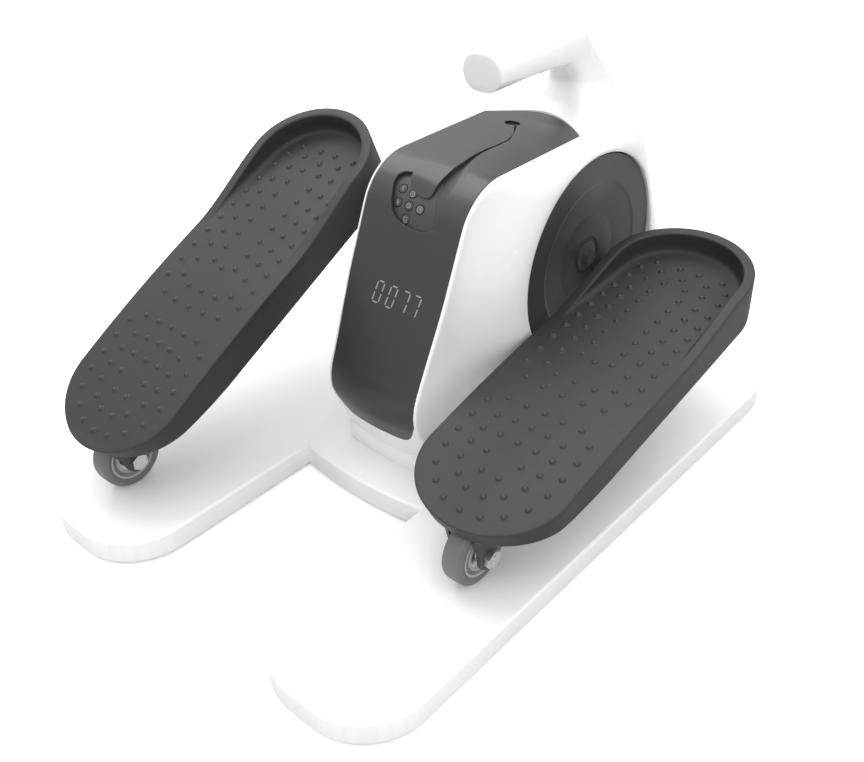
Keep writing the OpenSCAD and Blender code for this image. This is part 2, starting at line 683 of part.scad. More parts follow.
module left_pedal_tray() pedal_tray(-1);
module left_tread_mat() tread_mat(-1);
module left_pedal_bracket() pedal_bracket(-1);
module left_bracket_screws() bracket_screws(-1);
module left_crank_pin() crank_pin(-1);
module left_roller_fork() roller_fork(-1);
module left_axle_pin() axle_pin(-1);
module left_roller_tyre() roller_tyre(-1);
module left_roller_hub() roller_hub(-1);
module left_wheel_bearing() wheel_bearing(-1);
module right_pedal_tray() pedal_tray(1);
module right_tread_mat() tread_mat(1);
module right_pedal_bracket() pedal_bracket(1);
module right_bracket_screws() bracket_screws(1);
module right_crank_pin() crank_pin(1);
module right_roller_fork() roller_fork(1);
module right_axle_pin() axle_pin(1);
module right_roller_tyre() roller_tyre(1);
module right_roller_hub() roller_hub(1);
module right_wheel_bearing() wheel_bearing(1);

base_plate();
base_frame();
rubber_feet();
base_bolts();
plinth();
left_housing();
right_housing();
handle_end_cap();
front_panel();
display_window();
display_board();
display_segments();
keypad_plate();
left_side_plate();
right_side_plate();
spacer_bars();
shaft_bearings();
motor();
motor_bracket();
drive_belt();
control_board();
speed_sensor();
power_inlet();
switch_bezel();
housing_screws();
button_centre();
button_left();
button_right();
button_down();
button_up();
button_power();
power_switch();
crankshaft();
left_crank_disc();
right_crank_disc();
large_pulley();
disc_bolts();
sensor_magnet();
motor_pulley();
left_pedal_tray();
left_tread_mat();
left_pedal_bracket();
left_bracket_screws();
left_crank_pin();
left_roller_fork();
left_axle_pin();
left_roller_tyre();
left_roller_hub();
left_wheel_bearing();
right_pedal_tray();
right_tread_mat();
right_pedal_bracket();
right_bracket_screws();
right_crank_pin();
right_roller_fork();
right_axle_pin();
right_roller_tyre();
right_roller_hub();
right_wheel_bearing();
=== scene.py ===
"""Compact pedal trainer: a white two-part housing with a handle and a dark front panel, a crank
disc and a pedal on each side, a roller at the front end of each pedal, and a flat white base.

X runs from left (-) to right (+), the front faces -Y and Z is up, with the floor at 0.
All shapes are worked out in millimetres and turned into metres when a mesh is made.
"""
import math
import bmesh
import bpy
import numpy as np
from mathutils import Matrix, Vector


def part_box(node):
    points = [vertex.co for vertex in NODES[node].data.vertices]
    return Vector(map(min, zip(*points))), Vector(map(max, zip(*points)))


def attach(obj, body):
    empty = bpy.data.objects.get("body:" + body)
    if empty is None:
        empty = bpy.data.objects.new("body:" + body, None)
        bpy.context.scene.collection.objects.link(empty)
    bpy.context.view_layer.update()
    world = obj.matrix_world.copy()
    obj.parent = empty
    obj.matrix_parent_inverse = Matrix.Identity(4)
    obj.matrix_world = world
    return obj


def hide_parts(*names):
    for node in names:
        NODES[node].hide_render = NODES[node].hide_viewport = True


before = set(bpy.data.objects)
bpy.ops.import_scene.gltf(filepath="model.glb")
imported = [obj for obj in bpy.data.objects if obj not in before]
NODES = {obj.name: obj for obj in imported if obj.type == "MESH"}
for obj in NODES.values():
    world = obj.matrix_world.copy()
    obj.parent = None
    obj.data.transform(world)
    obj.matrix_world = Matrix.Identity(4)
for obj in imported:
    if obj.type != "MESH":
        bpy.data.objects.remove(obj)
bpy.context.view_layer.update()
MM = 0.001
SIDES = ((-1, "left"), (1, "right"))


# ---------------------------------------------------------------- places taken from the frame
def node_box(name):
    """Low and high corner of a CAD node."""
    low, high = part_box(name)
    return np.array(low) * 1000, np.array(high) * 1000


def node_middle(name):
    low, high = node_box(name)
    return (low + high) / 2


_, CRANK_Y, CRANK_Z = node_middle("crankshaft")
BASE_LOW, BASE_HIGH = node_box("base_plate")

# pedal frame: x outwards, u along the pedal towards the back, h up from the tread
AXLE_U = 15.0     # roller axle, along the pedal
AXLE_H = -44.0    # roller axle, below the tread
PIN_H = -37.0     # crank pin, below the tread
REACH = 289.0     # axle to crank pin, along the pedal


def pedal_pose(side):
    """Where the axle stands and how far the pedal is pitched."""
    axle = node_middle(side + "_axle_pin")
    pin = node_middle(side + "_crank_pin")
    rise = PIN_H - AXLE_H
    pitch = math.asin((pin[2] - axle[2]) / math.hypot(REACH, rise)) - math.atan2(rise, REACH)
    return dict(x=node_middle(side + "_pedal_tray")[0], y=axle[1], z=axle[2], pitch=pitch)


POSES = {sign: pedal_pose(side) for sign, side in SIDES}


# ---------------------------------------------------------------- materials
def new_material(name):
    material = bpy.data.materials.new(name)
    material.use_nodes = True
    tree = material.node_tree
    return material, tree, tree.nodes["Principled BSDF"]


def add_node(tree, kind, **values):
    """A node whose inputs, or else properties, are set by name."""
    node = tree.nodes.new(kind)
    for key, value in values.items():
        if key in node.inputs.keys():
            node.inputs[key].default_value = value
        else:
            setattr(node, key, value)
    return node


def set_inputs(node, values):
    for key, value in values.items():
        node.inputs[key].default_value = value


def feed(tree, socket, value):
    """Links a socket into another, or sets a plain value."""
    if isinstance(value, bpy.types.NodeSocket):
        tree.links.new(value, socket)
    else:
        socket.default_value = value


def grey(value):
    return (value, value, value, 1)


def ramp(tree, source, low, low_colour, high, high_colour):
    node = tree.nodes.new("ShaderNodeValToRGB")
    stops = node.color_ramp.elements
    stops[0].position = low
    stops[1].position = high
    stops[0].color = low_colour
    stops[1].color = high_colour
    tree.links.new(source, node.inputs["Fac"])
    return node.outputs["Color"]


def mix_colours(tree, blend, factor, first, second):
    node = add_node(tree, "ShaderNodeMix", data_type="RGBA", blend_type=blend)
    # in colour mode the factor is input 0, the colours are inputs 6 and 7, the result output 2
    for index, value in ((0, factor), (6, first), (7, second)):
        feed(tree, node.inputs[index], value)
    return node.outputs[2]


def surface(name, colour, rough=0.35, vary=0.04, rough_vary=0.08, grain=900.0, bump=0.06,
            wear_and_sheen=0.25, wear_and_sheen_colour=None, metal=0.0, coat=0.0, specular=0.5, blotch=14.0,
            streak=(1, 1, 1)):
    """Plastic, paint or plating: fine grain, slow colour and gloss drift, and lighter sharp edges
    that are partly wear and partly a painted edge highlight.

    vary and rough_vary are the drift of colour and roughness; grain and blotch are the scales
    of the fine and slow noise; streak stretches the grain.
    """
    material, tree, shader = new_material(name)
    link = tree.links.new
    coords = add_node(tree, "ShaderNodeTexCoord").outputs["Object"]
    mapping = add_node(tree, "ShaderNodeMapping", Scale=streak)
    slow = add_node(tree, "ShaderNodeTexNoise", Scale=blotch, Detail=3.0)
    fine = add_node(tree, "ShaderNodeTexNoise", Scale=grain, Detail=2.0)
    link(coords, mapping.inputs["Vector"])
    link(coords, slow.inputs["Vector"])
    link(mapping.outputs["Vector"], fine.inputs["Vector"])

    drift = ramp(tree, slow.outputs["Fac"], 0.3, grey(1 - vary), 0.7, grey(1 + vary))
    drifted = mix_colours(tree, "MULTIPLY", 1.0, (*colour, 1), drift)
    geometry = add_node(tree, "ShaderNodeNewGeometry")
    # sharp edges get a lighter colour: partly real wear, partly a painted edge highlight
    edges = ramp(tree, geometry.outputs["Pointiness"], 0.52, grey(0.0), 0.60, grey(wear_and_sheen))
    worn_and_sheen_colour = wear_and_sheen_colour or tuple(min(1.0, c * 1.6 + 0.03) for c in colour)
    link(mix_colours(tree, "MIX", edges, drifted, (*worn_and_sheen_colour, 1)), shader.inputs["Base Color"])

    gloss = add_node(tree, "ShaderNodeMapRange")
    set_inputs(gloss, {"From Min": 0.3, "From Max": 0.7,
                       "To Min": max(0.02, rough - rough_vary),
                       "To Max": min(1.0, rough + rough_vary)})
    link(slow.outputs["Fac"], gloss.inputs["Value"])
    link(gloss.outputs["Result"], shader.inputs["Roughness"])
    relief = add_node(tree, "ShaderNodeBump", Strength=bump, Distance=0.0002)
    link(fine.outputs["Fac"], relief.inputs["Height"])
    link(relief.outputs["Normal"], shader.inputs["Normal"])
    set_inputs(shader, {"Metallic": metal, "Specular IOR Level": specular})
    if coat:
        set_inputs(shader, {"Coat Weight": coat, "Coat Roughness": 0.08})
    return material


SHELL_WHITE = surface("shell_white_gloss", (0.86, 0.865, 0.87), rough=0.24, vary=0.012,
                      rough_vary=0.05, grain=1400, bump=0.03, wear_and_sheen_colour=(0.93, 0.93, 0.93),
                      coat=0.15)
BASE_WHITE = surface("base_white_satin", (0.86, 0.865, 0.87), rough=0.34, vary=0.015,
                     rough_vary=0.06, grain=1100, bump=0.05, wear_and_sheen=0.3,
                     wear_and_sheen_colour=(0.95, 0.95, 0.95))
# the grip's end cap is the shell's white plastic, painted greyer as shade on its end face
CAP_SHADED_WHITE = surface("cap_white_painted_shade", (0.74, 0.75, 0.755), rough=0.36, vary=0.015, grain=1300,
                    bump=0.05)
PANEL = surface("panel_dark_gloss", (0.027, 0.028, 0.030), rough=0.38, vary=0.05,
                rough_vary=0.05, grain=1500, bump=0.03, wear_and_sheen=0.15, coat=0.12)
KEYPAD = surface("keypad_membrane", (0.042, 0.043, 0.045), rough=0.42, grain=1800, bump=0.08)
# black painted shade for the dark inside of the panel's oval pit
PIT_SHADE = surface("pit_black_painted_shade", (0.008, 0.008, 0.008), rough=0.6, vary=0.05, bump=0.05,
                 wear_and_sheen=0.0)
PEDAL = surface("pedal_plastic", (0.025, 0.0255, 0.027), rough=0.55, vary=0.05,
                rough_vary=0.06, grain=1300, bump=0.22, wear_and_sheen=0.45,
                wear_and_sheen_colour=(0.10, 0.101, 0.105), specular=0.4)
TREAD = surface("tread_rubber", (0.030, 0.0305, 0.032), rough=0.50, vary=0.06,
                rough_vary=0.06, grain=1600, bump=0.28, wear_and_sheen=0.35,
                wear_and_sheen_colour=(0.09, 0.091, 0.095), specular=0.45)
DISC = surface("disc_plastic", (0.036, 0.036, 0.037), rough=0.40, vary=0.05, grain=1200,
               bump=0.04, wear_and_sheen=0.3)
TYRE = surface("roller_rubber", (0.13, 0.133, 0.137), rough=0.5, vary=0.06, bump=0.2,
               wear_and_sheen=0.2)
HUB = surface("roller_hub", (0.33, 0.335, 0.34), grain=1200, wear_and_sheen=0.4)
ZINC = surface("zinc_plate", (0.62, 0.63, 0.65), rough=0.28, vary=0.05, rough_vary=0.09,
               grain=700, metal=1.0, wear_and_sheen=0.2, wear_and_sheen_colour=(0.8, 0.8, 0.82))
STEEL = surface("brushed_steel", (0.45, 0.46, 0.48), rough=0.36, vary=0.05, grain=300,
                bump=0.12, metal=1.0, streak=(1, 12, 1))
PAINT = surface("black_paint", (0.035, 0.035, 0.037), rough=0.45, vary=0.06, grain=700,
                bump=0.16, wear_and_sheen=0.35)
RUBBER = surface("black_rubber", (0.02, 0.02, 0.021), rough=0.75, vary=0.08, grain=1300,
                 bump=0.25, wear_and_sheen=0.15)
BLACK = surface("black_plastic", (0.02, 0.02, 0.021), rough=0.42, vary=0.06, grain=1300,
                bump=0.14, wear_and_sheen=0.3)
BOARD = surface("circuit_board", (0.02, 0.10, 0.05), rough=0.4, vary=0.12, grain=420,
                bump=0.1, blotch=160)
MOTOR = surface("motor_shell", (0.34, 0.35, 0.37), rough=0.34, vary=0.05, grain=500,
                bump=0.07, metal=0.9)
DIGITS = surface("lit_digits", (0.27, 0.275, 0.28), rough=0.45, vary=0.03, bump=0.02,
                 wear_and_sheen=0.0)
ICON = surface("key_icons", (0.20, 0.205, 0.21), rough=0.5, vary=0.03, bump=0.04, wear_and_sheen=0.0)


# ---------------------------------------------------------------- mesh helpers
# A "mesh" below is a pair: an array of vertices and a list of faces.
def new_mesh(name, vertices, faces):
    data = bpy.data.meshes.new(name)
    data.from_pydata(np.asarray(vertices, float).tolist(), [], faces)
    data.validate()
    return data


def new_object(name, data):
    obj = bpy.data.objects.new(name, data)
    bpy.context.scene.collection.objects.link(obj)
    return obj


def add_mesh(name, mesh, materials, body, replaces=(), angle=40, face_materials=None):
    """Smooth-shaded object, sharp above angle (degrees), that rides on a body of the frame."""
    vertices, faces = mesh
    data = new_mesh(name, np.asarray(vertices, float) * MM, faces)
    for material in materials if isinstance(materials, list) else [materials]:
        data.materials.append(material)
    if face_materials is not None:
        data.polygons.foreach_set("material_index", np.asarray(face_materials, np.int32))
    data.polygons.foreach_set("use_smooth", [True] * len(data.polygons))
    data.update()
    data.set_sharp_from_angle(angle=math.radians(angle))
    obj = new_object(name, data)
    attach(obj, body)
    if replaces:
        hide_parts(*replaces)


def scratch(mesh):
    """Temporary object for a boolean."""
    return new_object("tmp", new_mesh("tmp", *mesh))


def clean(obj):
    """Welds doubled vertices and turns all faces outwards."""
    weld = 1e-5 if obj.dimensions.length > 5 else 1e-7
    work = bmesh.new()
    work.from_mesh(obj.data)
    bmesh.ops.remove_doubles(work, verts=work.verts, dist=weld)
    bmesh.ops.recalc_face_normals(work, faces=work.faces)
    work.to_mesh(obj.data)
    work.free()


def boolean(first, second, operation):
    """Combines two scratch objects, removes both and returns the mesh."""
    modifier = first.modifiers.new("b", "BOOLEAN")
    modifier.operation = operation
    modifier.object = second
    modifier.solver = "EXACT"
    graph = bpy.context.evaluated_depsgraph_get()
    data = bpy.data.meshes.new_from_object(first.evaluated_get(graph))
    vertices = np.array([v.co[:] for v in data.vertices])
    faces = [list(p.vertices) for p in data.polygons]
    bpy.data.objects.remove(first)
    bpy.data.objects.remove(second)
    return vertices, faces


def flipped(faces):
    return [face[::-1] for face in faces]


def orient(vertices, faces):
    """Faces of a closed mesh, turned outwards by the sign of its volume."""
    volume = 0.0
    centre = vertices.mean(0)
    for face in faces:
        a = vertices[face[0]] - centre
        for b, c in zip(face[1:-1], face[2:]):
            volume += np.dot(a, np.cross(vertices[b] - centre, vertices[c] - centre))
    return flipped(faces) if volume < 0 else faces


def lathe(profile, count):
    """Turns a closed profile of (r, x) about the x axis; points on the axis stay single."""
    vertices, faces, rings = [], [], []
    for r, x in profile:
        size = 1 if r < 1e-6 else count
        rings.append(list(range(len(vertices), len(vertices) + size)))
        for k in range(size):
            turn = 2 * math.pi * k / count
            vertices.append((x, r * math.cos(turn), r * math.sin(turn)) if size > 1
                            else (x, 0, 0))
    for near, far in zip(rings, rings[1:] + rings[:1]):
        if len(near) == 1 and len(far) == 1:
            continue
        for k in range(count):
            n = (k + 1) % count
            if len(near) == 1:
                faces.append([near[0], far[n], far[k]])
            elif len(far) == 1:
                faces.append([near[k], near[n], far[0]])
            else:
                faces.append([near[k], near[n], far[n], far[k]])
    vertices = np.array(vertices, float)
    return vertices, orient(vertices, faces)


def fillet(points, radii, steps=4, closed=True):
    """Rounds the corners of a polyline; radii is one radius or one per point."""
    points = [np.array(p, float) for p in points]
    out = []
    for i, corner in enumerate(points):
        radius = radii[i] if isinstance(radii, list) else radii
        if (not closed and i in (0, len(points) - 1)) or radius <= 0:
            out.append(tuple(corner))
            continue
        back, ahead = points[i - 1] - corner, points[(i + 1) % len(points)] - corner
        back_length, ahead_length = np.linalg.norm(back), np.linalg.norm(ahead)
        back, ahead = back / back_length, ahead / ahead_length
        half = math.acos(float(np.clip(back @ ahead, -1, 1))) / 2
        if half > 1.56:    # the corner is nearly straight
            out.append(tuple(corner))
            continue
        trim = min(radius / math.tan(half), 0.49 * min(back_length, ahead_length))
        fitted = trim * math.tan(half)
        middle = (back + ahead) / np.linalg.norm(back + ahead)
        centre = corner + middle * (fitted / math.sin(half))
        first, last = corner + back * trim - centre, corner + ahead * trim - centre
        start = math.atan2(first[1], first[0])
        sweep = math.atan2(last[1], last[0]) - start
        sweep = (sweep + math.pi) % (2 * math.pi) - math.pi
        for k in range(steps + 1):
            turn = start + sweep * k / steps
            out.append((centre[0] + fitted * math.cos(turn), centre[1] + fitted * math.sin(turn)))
    return out


def rounded(outline, steps=14):
    """Fillets an outline of (y, z, corner radius)."""
    return fillet([p[:2] for p in outline], [p[2] for p in outline], steps)


def arc(cx, cy, radius, start, end, steps):
    """Points on an arc; angles in degrees."""
    out = []
    for k in range(steps + 1):
        turn = math.radians(start + (end - start) * k / steps)
        out.append((cx + radius * math.cos(turn), cy + radius * math.sin(turn)))
    return out


def loft(rings, ends="caps"):
    """Joins rings of equal length. ends: "caps", "loop" (last ring to first) or "open"."""
    n = len(rings[0])
    vertices = np.concatenate([np.asarray(ring, float) for ring in rings])
    faces = []
    for i in range(len(rings) if ends == "loop" else len(rings) - 1):
        a, b = i * n, (i + 1) % len(rings) * n
        for k in range(n):
            k2 = (k + 1) % n
            faces.append([a + k, a + k2, b + k2, b + k])
    if ends == "open":
        return vertices, faces
    if ends == "caps":
        faces.append(list(range(n))[::-1])
        faces.append([(len(rings) - 1) * n + k for k in range(n)])
    return vertices, orient(vertices, faces)


def prism(points, low, high):
    """Flat outline carried from one height to another."""
    return loft([[(x, y, z) for x, y in points] for z in (low, high)])


def join(meshes):
    vertices, faces, offset = [], [], 0
    for part_vertices, part_faces in meshes:
        vertices.append(part_vertices)
        faces += [[i + offset for i in face] for face in part_faces]
        offset += len(part_vertices)
    return np.concatenate(vertices), faces


# ---------------------------------------------------------------- distance fields
# A field is negative inside its solid.
def smooth_min(a, b, k):
    h = np.clip(0.5 + 0.5 * (b - a) / k, 0, 1)
    return b * (1 - h) + a * h - k * h * (1 - h)


def smooth_max(a, b, k):
    return -smooth_min(-a, -b, k)


def common(*fields):
    """What all the solids share."""
    out = fields[0]
    for field in fields[1:]:
        out = np.maximum(out, field)
    return out


def ease(t):
    t = np.clip(t, 0, 1)
    return t * t * (3 - 2 * t)


def outline_distance(points, y, z):
    """Exact signed distance to a closed polygon."""
    points = np.array(points, float)
    y, z = np.broadcast_arrays(np.asarray(y, float), np.asarray(z, float))
    shape = y.shape
    y, z = y.ravel(), z.ravel()
    nearest = np.full(y.shape, 1e18)
    inside = np.zeros(y.shape, bool)
    for a, b in zip(points, np.roll(points, -1, 0)):
        edge = b - a
        wy, wz = y - a[0], z - a[1]
        t = np.clip((wy * edge[0] + wz * edge[1]) / max(edge @ edge, 1e-12), 0, 1)
        dy, dz = wy - t * edge[0], wz - t * edge[1]
        np.minimum(nearest, dy * dy + dz * dz, out=nearest)
        if a[1] != b[1]:
            spans = (a[1] > z) != (b[1] > z)
            inside ^= spans & (y < edge[0] * (z - a[1]) / edge[1] + a[0])
    return (np.where(inside, -1.0, 1.0) * np.sqrt(nearest)).reshape(shape)


def sampled(points, cell, pad=14.0):
    """Distance to an outline, sampled on a fine grid and read back by interpolation."""
    corners = np.array(points)
    low, high = corners.min(0) - pad, corners.max(0) + pad
    ny, nz = (np.ceil((high - low) / cell) + 1).astype(int)
    grid = outline_distance(points, low[0] + cell * np.arange(ny)[:, None],
                            low[1] + cell * np.arange(nz)[None, :])

    def field(y, z):
        y, z = np.broadcast_arrays(np.asarray(y, float), np.asarray(z, float))
        u, v = (y - low[0]) / cell, (z - low[1]) / cell
        u_in, v_in = np.clip(u, 0, ny - 1.001), np.clip(v, 0, nz - 1.001)
        i, j = u_in.astype(int), v_in.astype(int)
        p, q = u_in - i, v_in - j
        near = grid[i, j] * (1 - p) + grid[i + 1, j] * p
        far = grid[i, j + 1] * (1 - p) + grid[i + 1, j + 1] * p
        return near * (1 - q) + far * q + cell * np.hypot(u - u_in, v - v_in)

    return field


# ---------------------------------------------------------------- dual contouring
SLAB = 24            # grid layers evaluated at a time
BISECTIONS = 6
CENTRE_PULL = 0.08   # pull of each vertex to the mean of its cell's cuts


def cut_edges(field, negative, axis, low, step, eps):
    """Grid edges along one axis that the surface cuts: their cells, cuts, normals and quads."""
    size = np.array(negative.shape)
    second, third = (axis + 1) % 3, (axis + 2) % 3
    near, far = [slice(None)] * 3, [slice(None)] * 3
    near[axis], far[axis] = slice(0, -1), slice(1, None)
    edges = np.argwhere(negative[tuple(near)] != negative[tuple(far)])
    for other in (second, third):
        edges = edges[(edges[:, other] > 0) & (edges[:, other] < size[other] - 1)]
    from_inside = negative[tuple(edges.T)]
    origins = low + edges * step

    def points_at(fraction):
        points = origins.copy()
        points[:, axis] += fraction * step[axis]
        return points

    start, end = np.zeros(len(edges)), np.ones(len(edges))
    for _ in range(BISECTIONS):
        middle = (start + end) / 2
        same = (field(*points_at(middle).T) < 0) == from_inside
        start = np.where(same, middle, start)
        end = np.where(same, end, middle)
    first, last = points_at(start), points_at(end)
    first_value, last_value = field(*first.T), field(*last.T)
    gap = first_value - last_value
    usable = np.abs(gap) > 1e-9
    share = np.clip(np.where(usable, first_value / np.where(usable, gap, 1), 0.5), 0, 1)
    cuts = first + (last - first) * share[:, None]

    normals = np.zeros_like(cuts)
    for k in range(3):
        shift = np.zeros(3)
        shift[k] = eps
        normals[:, k] = field(*(cuts + shift).T) - field(*(cuts - shift).T)
    normals /= np.maximum(np.linalg.norm(normals, axis=1), 1e-9)[:, None]

    around = []
    for second_step, third_step in ((0, 0), (-1, 0), (-1, -1), (0, -1)):
        cell = edges.copy()
        cell[:, second] += second_step
        cell[:, third] += third_step
        around.append((cell[:, 0] * (size[1] - 1) + cell[:, 1]) * (size[2] - 1) + cell[:, 2])
    quads = np.stack(around, 1)
    quads[~from_inside] = quads[~from_inside][:, ::-1]
    return np.concatenate(around), np.tile(cuts, (4, 1)), np.tile(normals, (4, 1)), quads


def contour(field, low, high, step, eps=0.03):
    """Closed mesh of quads on field = 0; eps is the reach of the normals' differences."""
    low, high, step = np.array(low, float), np.array(high, float), np.array(step, float)
    size = np.ceil((high - low) / step).astype(int) + 1
    x, y, z = [low[i] + step[i] * np.arange(size[i]) for i in range(3)]
    values = np.empty(size, np.float32)
    for i in range(0, size[0], SLAB):
        values[i:i + SLAB] = field(x[i:i + SLAB, None, None], y[None, :, None], z[None, None, :])
    found = [cut_edges(field, values < 0, axis, low, step, eps) for axis in range(3)]
    cells, cuts, normals, quads = [np.concatenate(part) for part in zip(*found)]

    # each vertex is the least-squares meeting point of the planes through its cell's cuts
    ids, owner = np.unique(cells, return_inverse=True)
    count = len(ids)
    hits = np.bincount(owner, minlength=count).astype(float)
    mean = np.stack([np.bincount(owner, cuts[:, k], count) for k in range(3)], 1) / hits[:, None]
    offset = (normals * (cuts - mean[owner])).sum(1)
    matrix = np.zeros((count, 3, 3))
    target = np.zeros((count, 3))
    for i in range(3):
        target[:, i] = np.bincount(owner, normals[:, i] * offset, count)
        for j in range(i, 3):
            products = np.bincount(owner, normals[:, i] * normals[:, j], count)
            matrix[:, i, j] = matrix[:, j, i] = products
    matrix += np.eye(3) * (CENTRE_PULL * hits)[:, None, None]
    vertices = mean + np.linalg.solve(matrix, target[:, :, None])[:, :, 0]
    rows, layers = size[1] - 1, size[2] - 1
    place = np.stack([ids // (rows * layers), (ids // layers) % rows, ids % layers], 1)
    corner = low + place * step
    return np.clip(vertices, corner, corner + step), np.searchsorted(ids, quads).tolist()


def grid_step(full):
    return full


# ---------------------------------------------------------------- housing
SLOPE_FOOT = (-69.2, 83.1)    # ends of the front slope (y, z), before rounding
SLOPE_HEAD = (-3.1, 238.7)
# side outlines: (y, z, corner radius)
BODY = [(-47, 36, 6), (246, 36, 6), (246, 125, 60), (186, 238.7, 40), (*SLOPE_HEAD, 45),
        (*SLOPE_FOOT, 40)]
HANDLE = [(118, 277.5, 0.5), (152, 277.5, 10), (161, 266, 10), (158, 236, 6), (158, 152, 1),
          (222, 146, 1), (236, 191, 40), (207, 262, 70), (167, 305.5, 27), (118, 305.5, 0.5)]
body_outline = sampled(rounded(BODY), 0.5)
handle_outline = sampled(rounded(HANDLE, 10), 0.5, 40)
SLOPE = math.atan2(SLOPE_HEAD[1] - SLOPE_FOOT[1], SLOPE_HEAD[0] - SLOPE_FOOT[0])
SLOPE_ZERO = (-66.27, 90)     # y, z where lengths along the slope start

SEAM = 0.05                   # each half stops this far from the middle plane
WALL = 3.3
PANEL_DEPTH = 2.9             # recess for the front panel
OPENING_R, COLLAR_R = 82.0, 84.6    # round side opening and the collar inside it
FLAT_R, FLARE_R = 88, 145     # the sides swell from FLARE_R inwards to FLAT_R
SIDE_HALF = 68                # half width round the crank
GRIP_R, GRIP_FLAT, GRIP_Z = 13.5, 3.5, 291.5    # oval grip: end radius, half flat, height


def panel_half(z):
    """Half width of the panel's recess: a little narrower towards the bottom."""
    return 44.95 - 3.0 * ease((172 - z) / 80)


def swell(x, z):
    """The lower front comes forward a little in the middle."""
    return 6.0 * (1 - np.clip(np.abs(x) / 46.0, 0, 1) ** 2) * ease((105 - z) / 55)


def panel_back(x):
    """y of the panel's rear edge, on top of the housing."""
    return 141.5 - 20.3 * (x / 45.0) ** 2


def panel_low(x):
    """z of the panel's lower edge."""
    return 55.6 + 23.0 * np.clip((np.abs(x) - 23.0) / 19.5, 0, 1.4) ** 2.6


def side_skin(x, y, z):
    """Side outline of the body, with the swollen front."""
    return body_outline(y, z) - swell(x, z) * ease((30 - y) / 40)


def half_width(y, z):
    """Half width of the body, and the distance from the crank axis."""
    r = np.sqrt((y - CRANK_Y) ** 2 + (z - CRANK_Z) ** 2)
    u = np.clip((FLARE_R - r) / (FLARE_R - FLAT_R), 0, 1)
    narrow = panel_half(z) + 2.3
    half = narrow + (SIDE_HALF - narrow) * u * u * (3 - 2 * u)
    return half - 1.2 * np.clip((FLAT_R - r) / 6, 0, 1) ** 2, r


def body_field(x, y, z):
    half, _ = half_width(y, z)
    # edge rounding: tight beside the panel, full at the back, tight again at the bottom
    edge = np.clip((half - panel_half(z)) * 0.95, 2.0, 19)
    edge = np.maximum(edge, 20 * ease((y - 148) / 50))
    edge = np.where(z < 60, np.minimum(edge, 3 + 17 * ease((z - 40) / 40)), edge)
    return smooth_max(side_skin(x, y, z), x - half, edge)


def handle_field(x, y, z):
    """Arm that rises at the back, and the oval grip that runs forward from its bend."""
    narrowing = np.clip((z - 200) / 75, 0, 1)
    arm_half = 17.0 + 33.0 * (1 - narrowing) ** 1.9
    arm = smooth_max(handle_outline(y, z), x - arm_half, 13)
    oval = np.sqrt(np.clip(x - GRIP_FLAT, 0, None) ** 2 + (z - GRIP_Z) ** 2) - GRIP_R
    grip = common(oval, 62.5 - y, y - 168)
    arm = arm + 2.6 * (1 - ease((y - 120) / 32))
    arm = np.where(y < 118.5, 1e3, arm)
    return np.where(y < 110, grip, smooth_min(arm, grip, 5.0))


def outer_field(x, y, z):
    x = np.abs(x)
    blend = 8.0 + 27.0 * (1 - ease((z - 250) / 26))
    out = smooth_min(body_field(x, y, z), handle_field(x, y, z), blend)
    # the rear corners are shaved to two soft flats
    out = smooth_max(out, 0.804 * x + 0.554 * y + 0.213 * z - 200.2, 8.0)
    return smooth_max(out, 0.631 * x + 0.589 * y + 0.504 * z - 261.8, 6.0)


def openings(sign, x, y, z):
    """Cuts through the wall: bottom, slope and top under the panel, and one at the rear."""
    across = np.abs(x)
    dy, dz = y - SLOPE_ZERO[0], z - SLOPE_ZERO[1]
    along = dy * math.cos(SLOPE) + dz * math.sin(SLOPE)
    off = -dy * math.sin(SLOPE) + dz * math.cos(SLOPE)
    bottom = common(across - 40, z - 46, -37 - y, y - 234)
    slope = common(across - 30, np.abs(along - 142) - 23, off - 9, -16 - off)
    top = common(across - 27, np.abs(y - 34) - 32, 225 - z, z - 245)
    if sign > 0:
        rear = common(9 - x, x - 31, 49 - z, z - 77, 228 - y)
    else:
        rear = common(x + 7, -35 - x, 50 - z, z - 72, 228 - y)
    return bottom, slope, top, rear


def housing_mesh(sign):
    def field(x, y, z):
        across = np.abs(x)
        outer = outer_field(x, y, z)
        skin = side_skin(x, y, z)
        half, r = half_width(y, z)
        recess = common(across - panel_half(z), -(skin + PANEL_DEPTH), y - panel_back(x),
                        panel_low(x) - z, skin - 7)
        recess = np.where(y > 150, 50.0, recess)
        cavity = np.maximum(outer + WALL, 3.0 - recess)
        solid = smooth_max(outer, -np.maximum(r - OPENING_R, 30 - across), 2.2)
        collar = common(OPENING_R - r, r - COLLAR_R, 54 - across, across - half + 0.5)
        shell = np.minimum(common(solid, -recess, -cavity), collar)
        cuts = [-cut for cut in openings(sign, x, y, z)]
        return common(shell, *cuts, SEAM - sign * x)

    step = grid_step(1.25)
    left, right = (-step * 1.5, 72) if sign > 0 else (-72, step * 1.5)
    vertices, quads = contour(field, (left, -80, 30), (right, 262, 312), (step, step, step))
    # keep the joint plane flat
    vertices[np.abs(vertices[:, 0]) < 0.6, 0] = sign * SEAM
    return vertices, quads


def grip_cap_mesh():
    """Closes the front end of the grip. Stations: (inset, y)."""
    stations = [(6.0, 61.0), (0.7, 61.0), (0.25, 61.15), (0.02, 61.6), (0.02, 62.4),
                (3.5, 62.45), (3.5, 65.6), (4.0, 66.0), (9, 66.0)]
    count = 64
    rings = []
    for inset, y in stations:
        ring = []
        for k in range(count):
            c, s = math.cos(2 * math.pi * k / count), math.sin(2 * math.pi * k / count)
            flat = GRIP_FLAT if c > 0 else -GRIP_FLAT
            ring.append(((GRIP_R - inset) * c + flat, y, GRIP_Z + (GRIP_R - inset) * s))
        rings.append(ring)
    return loft(rings)


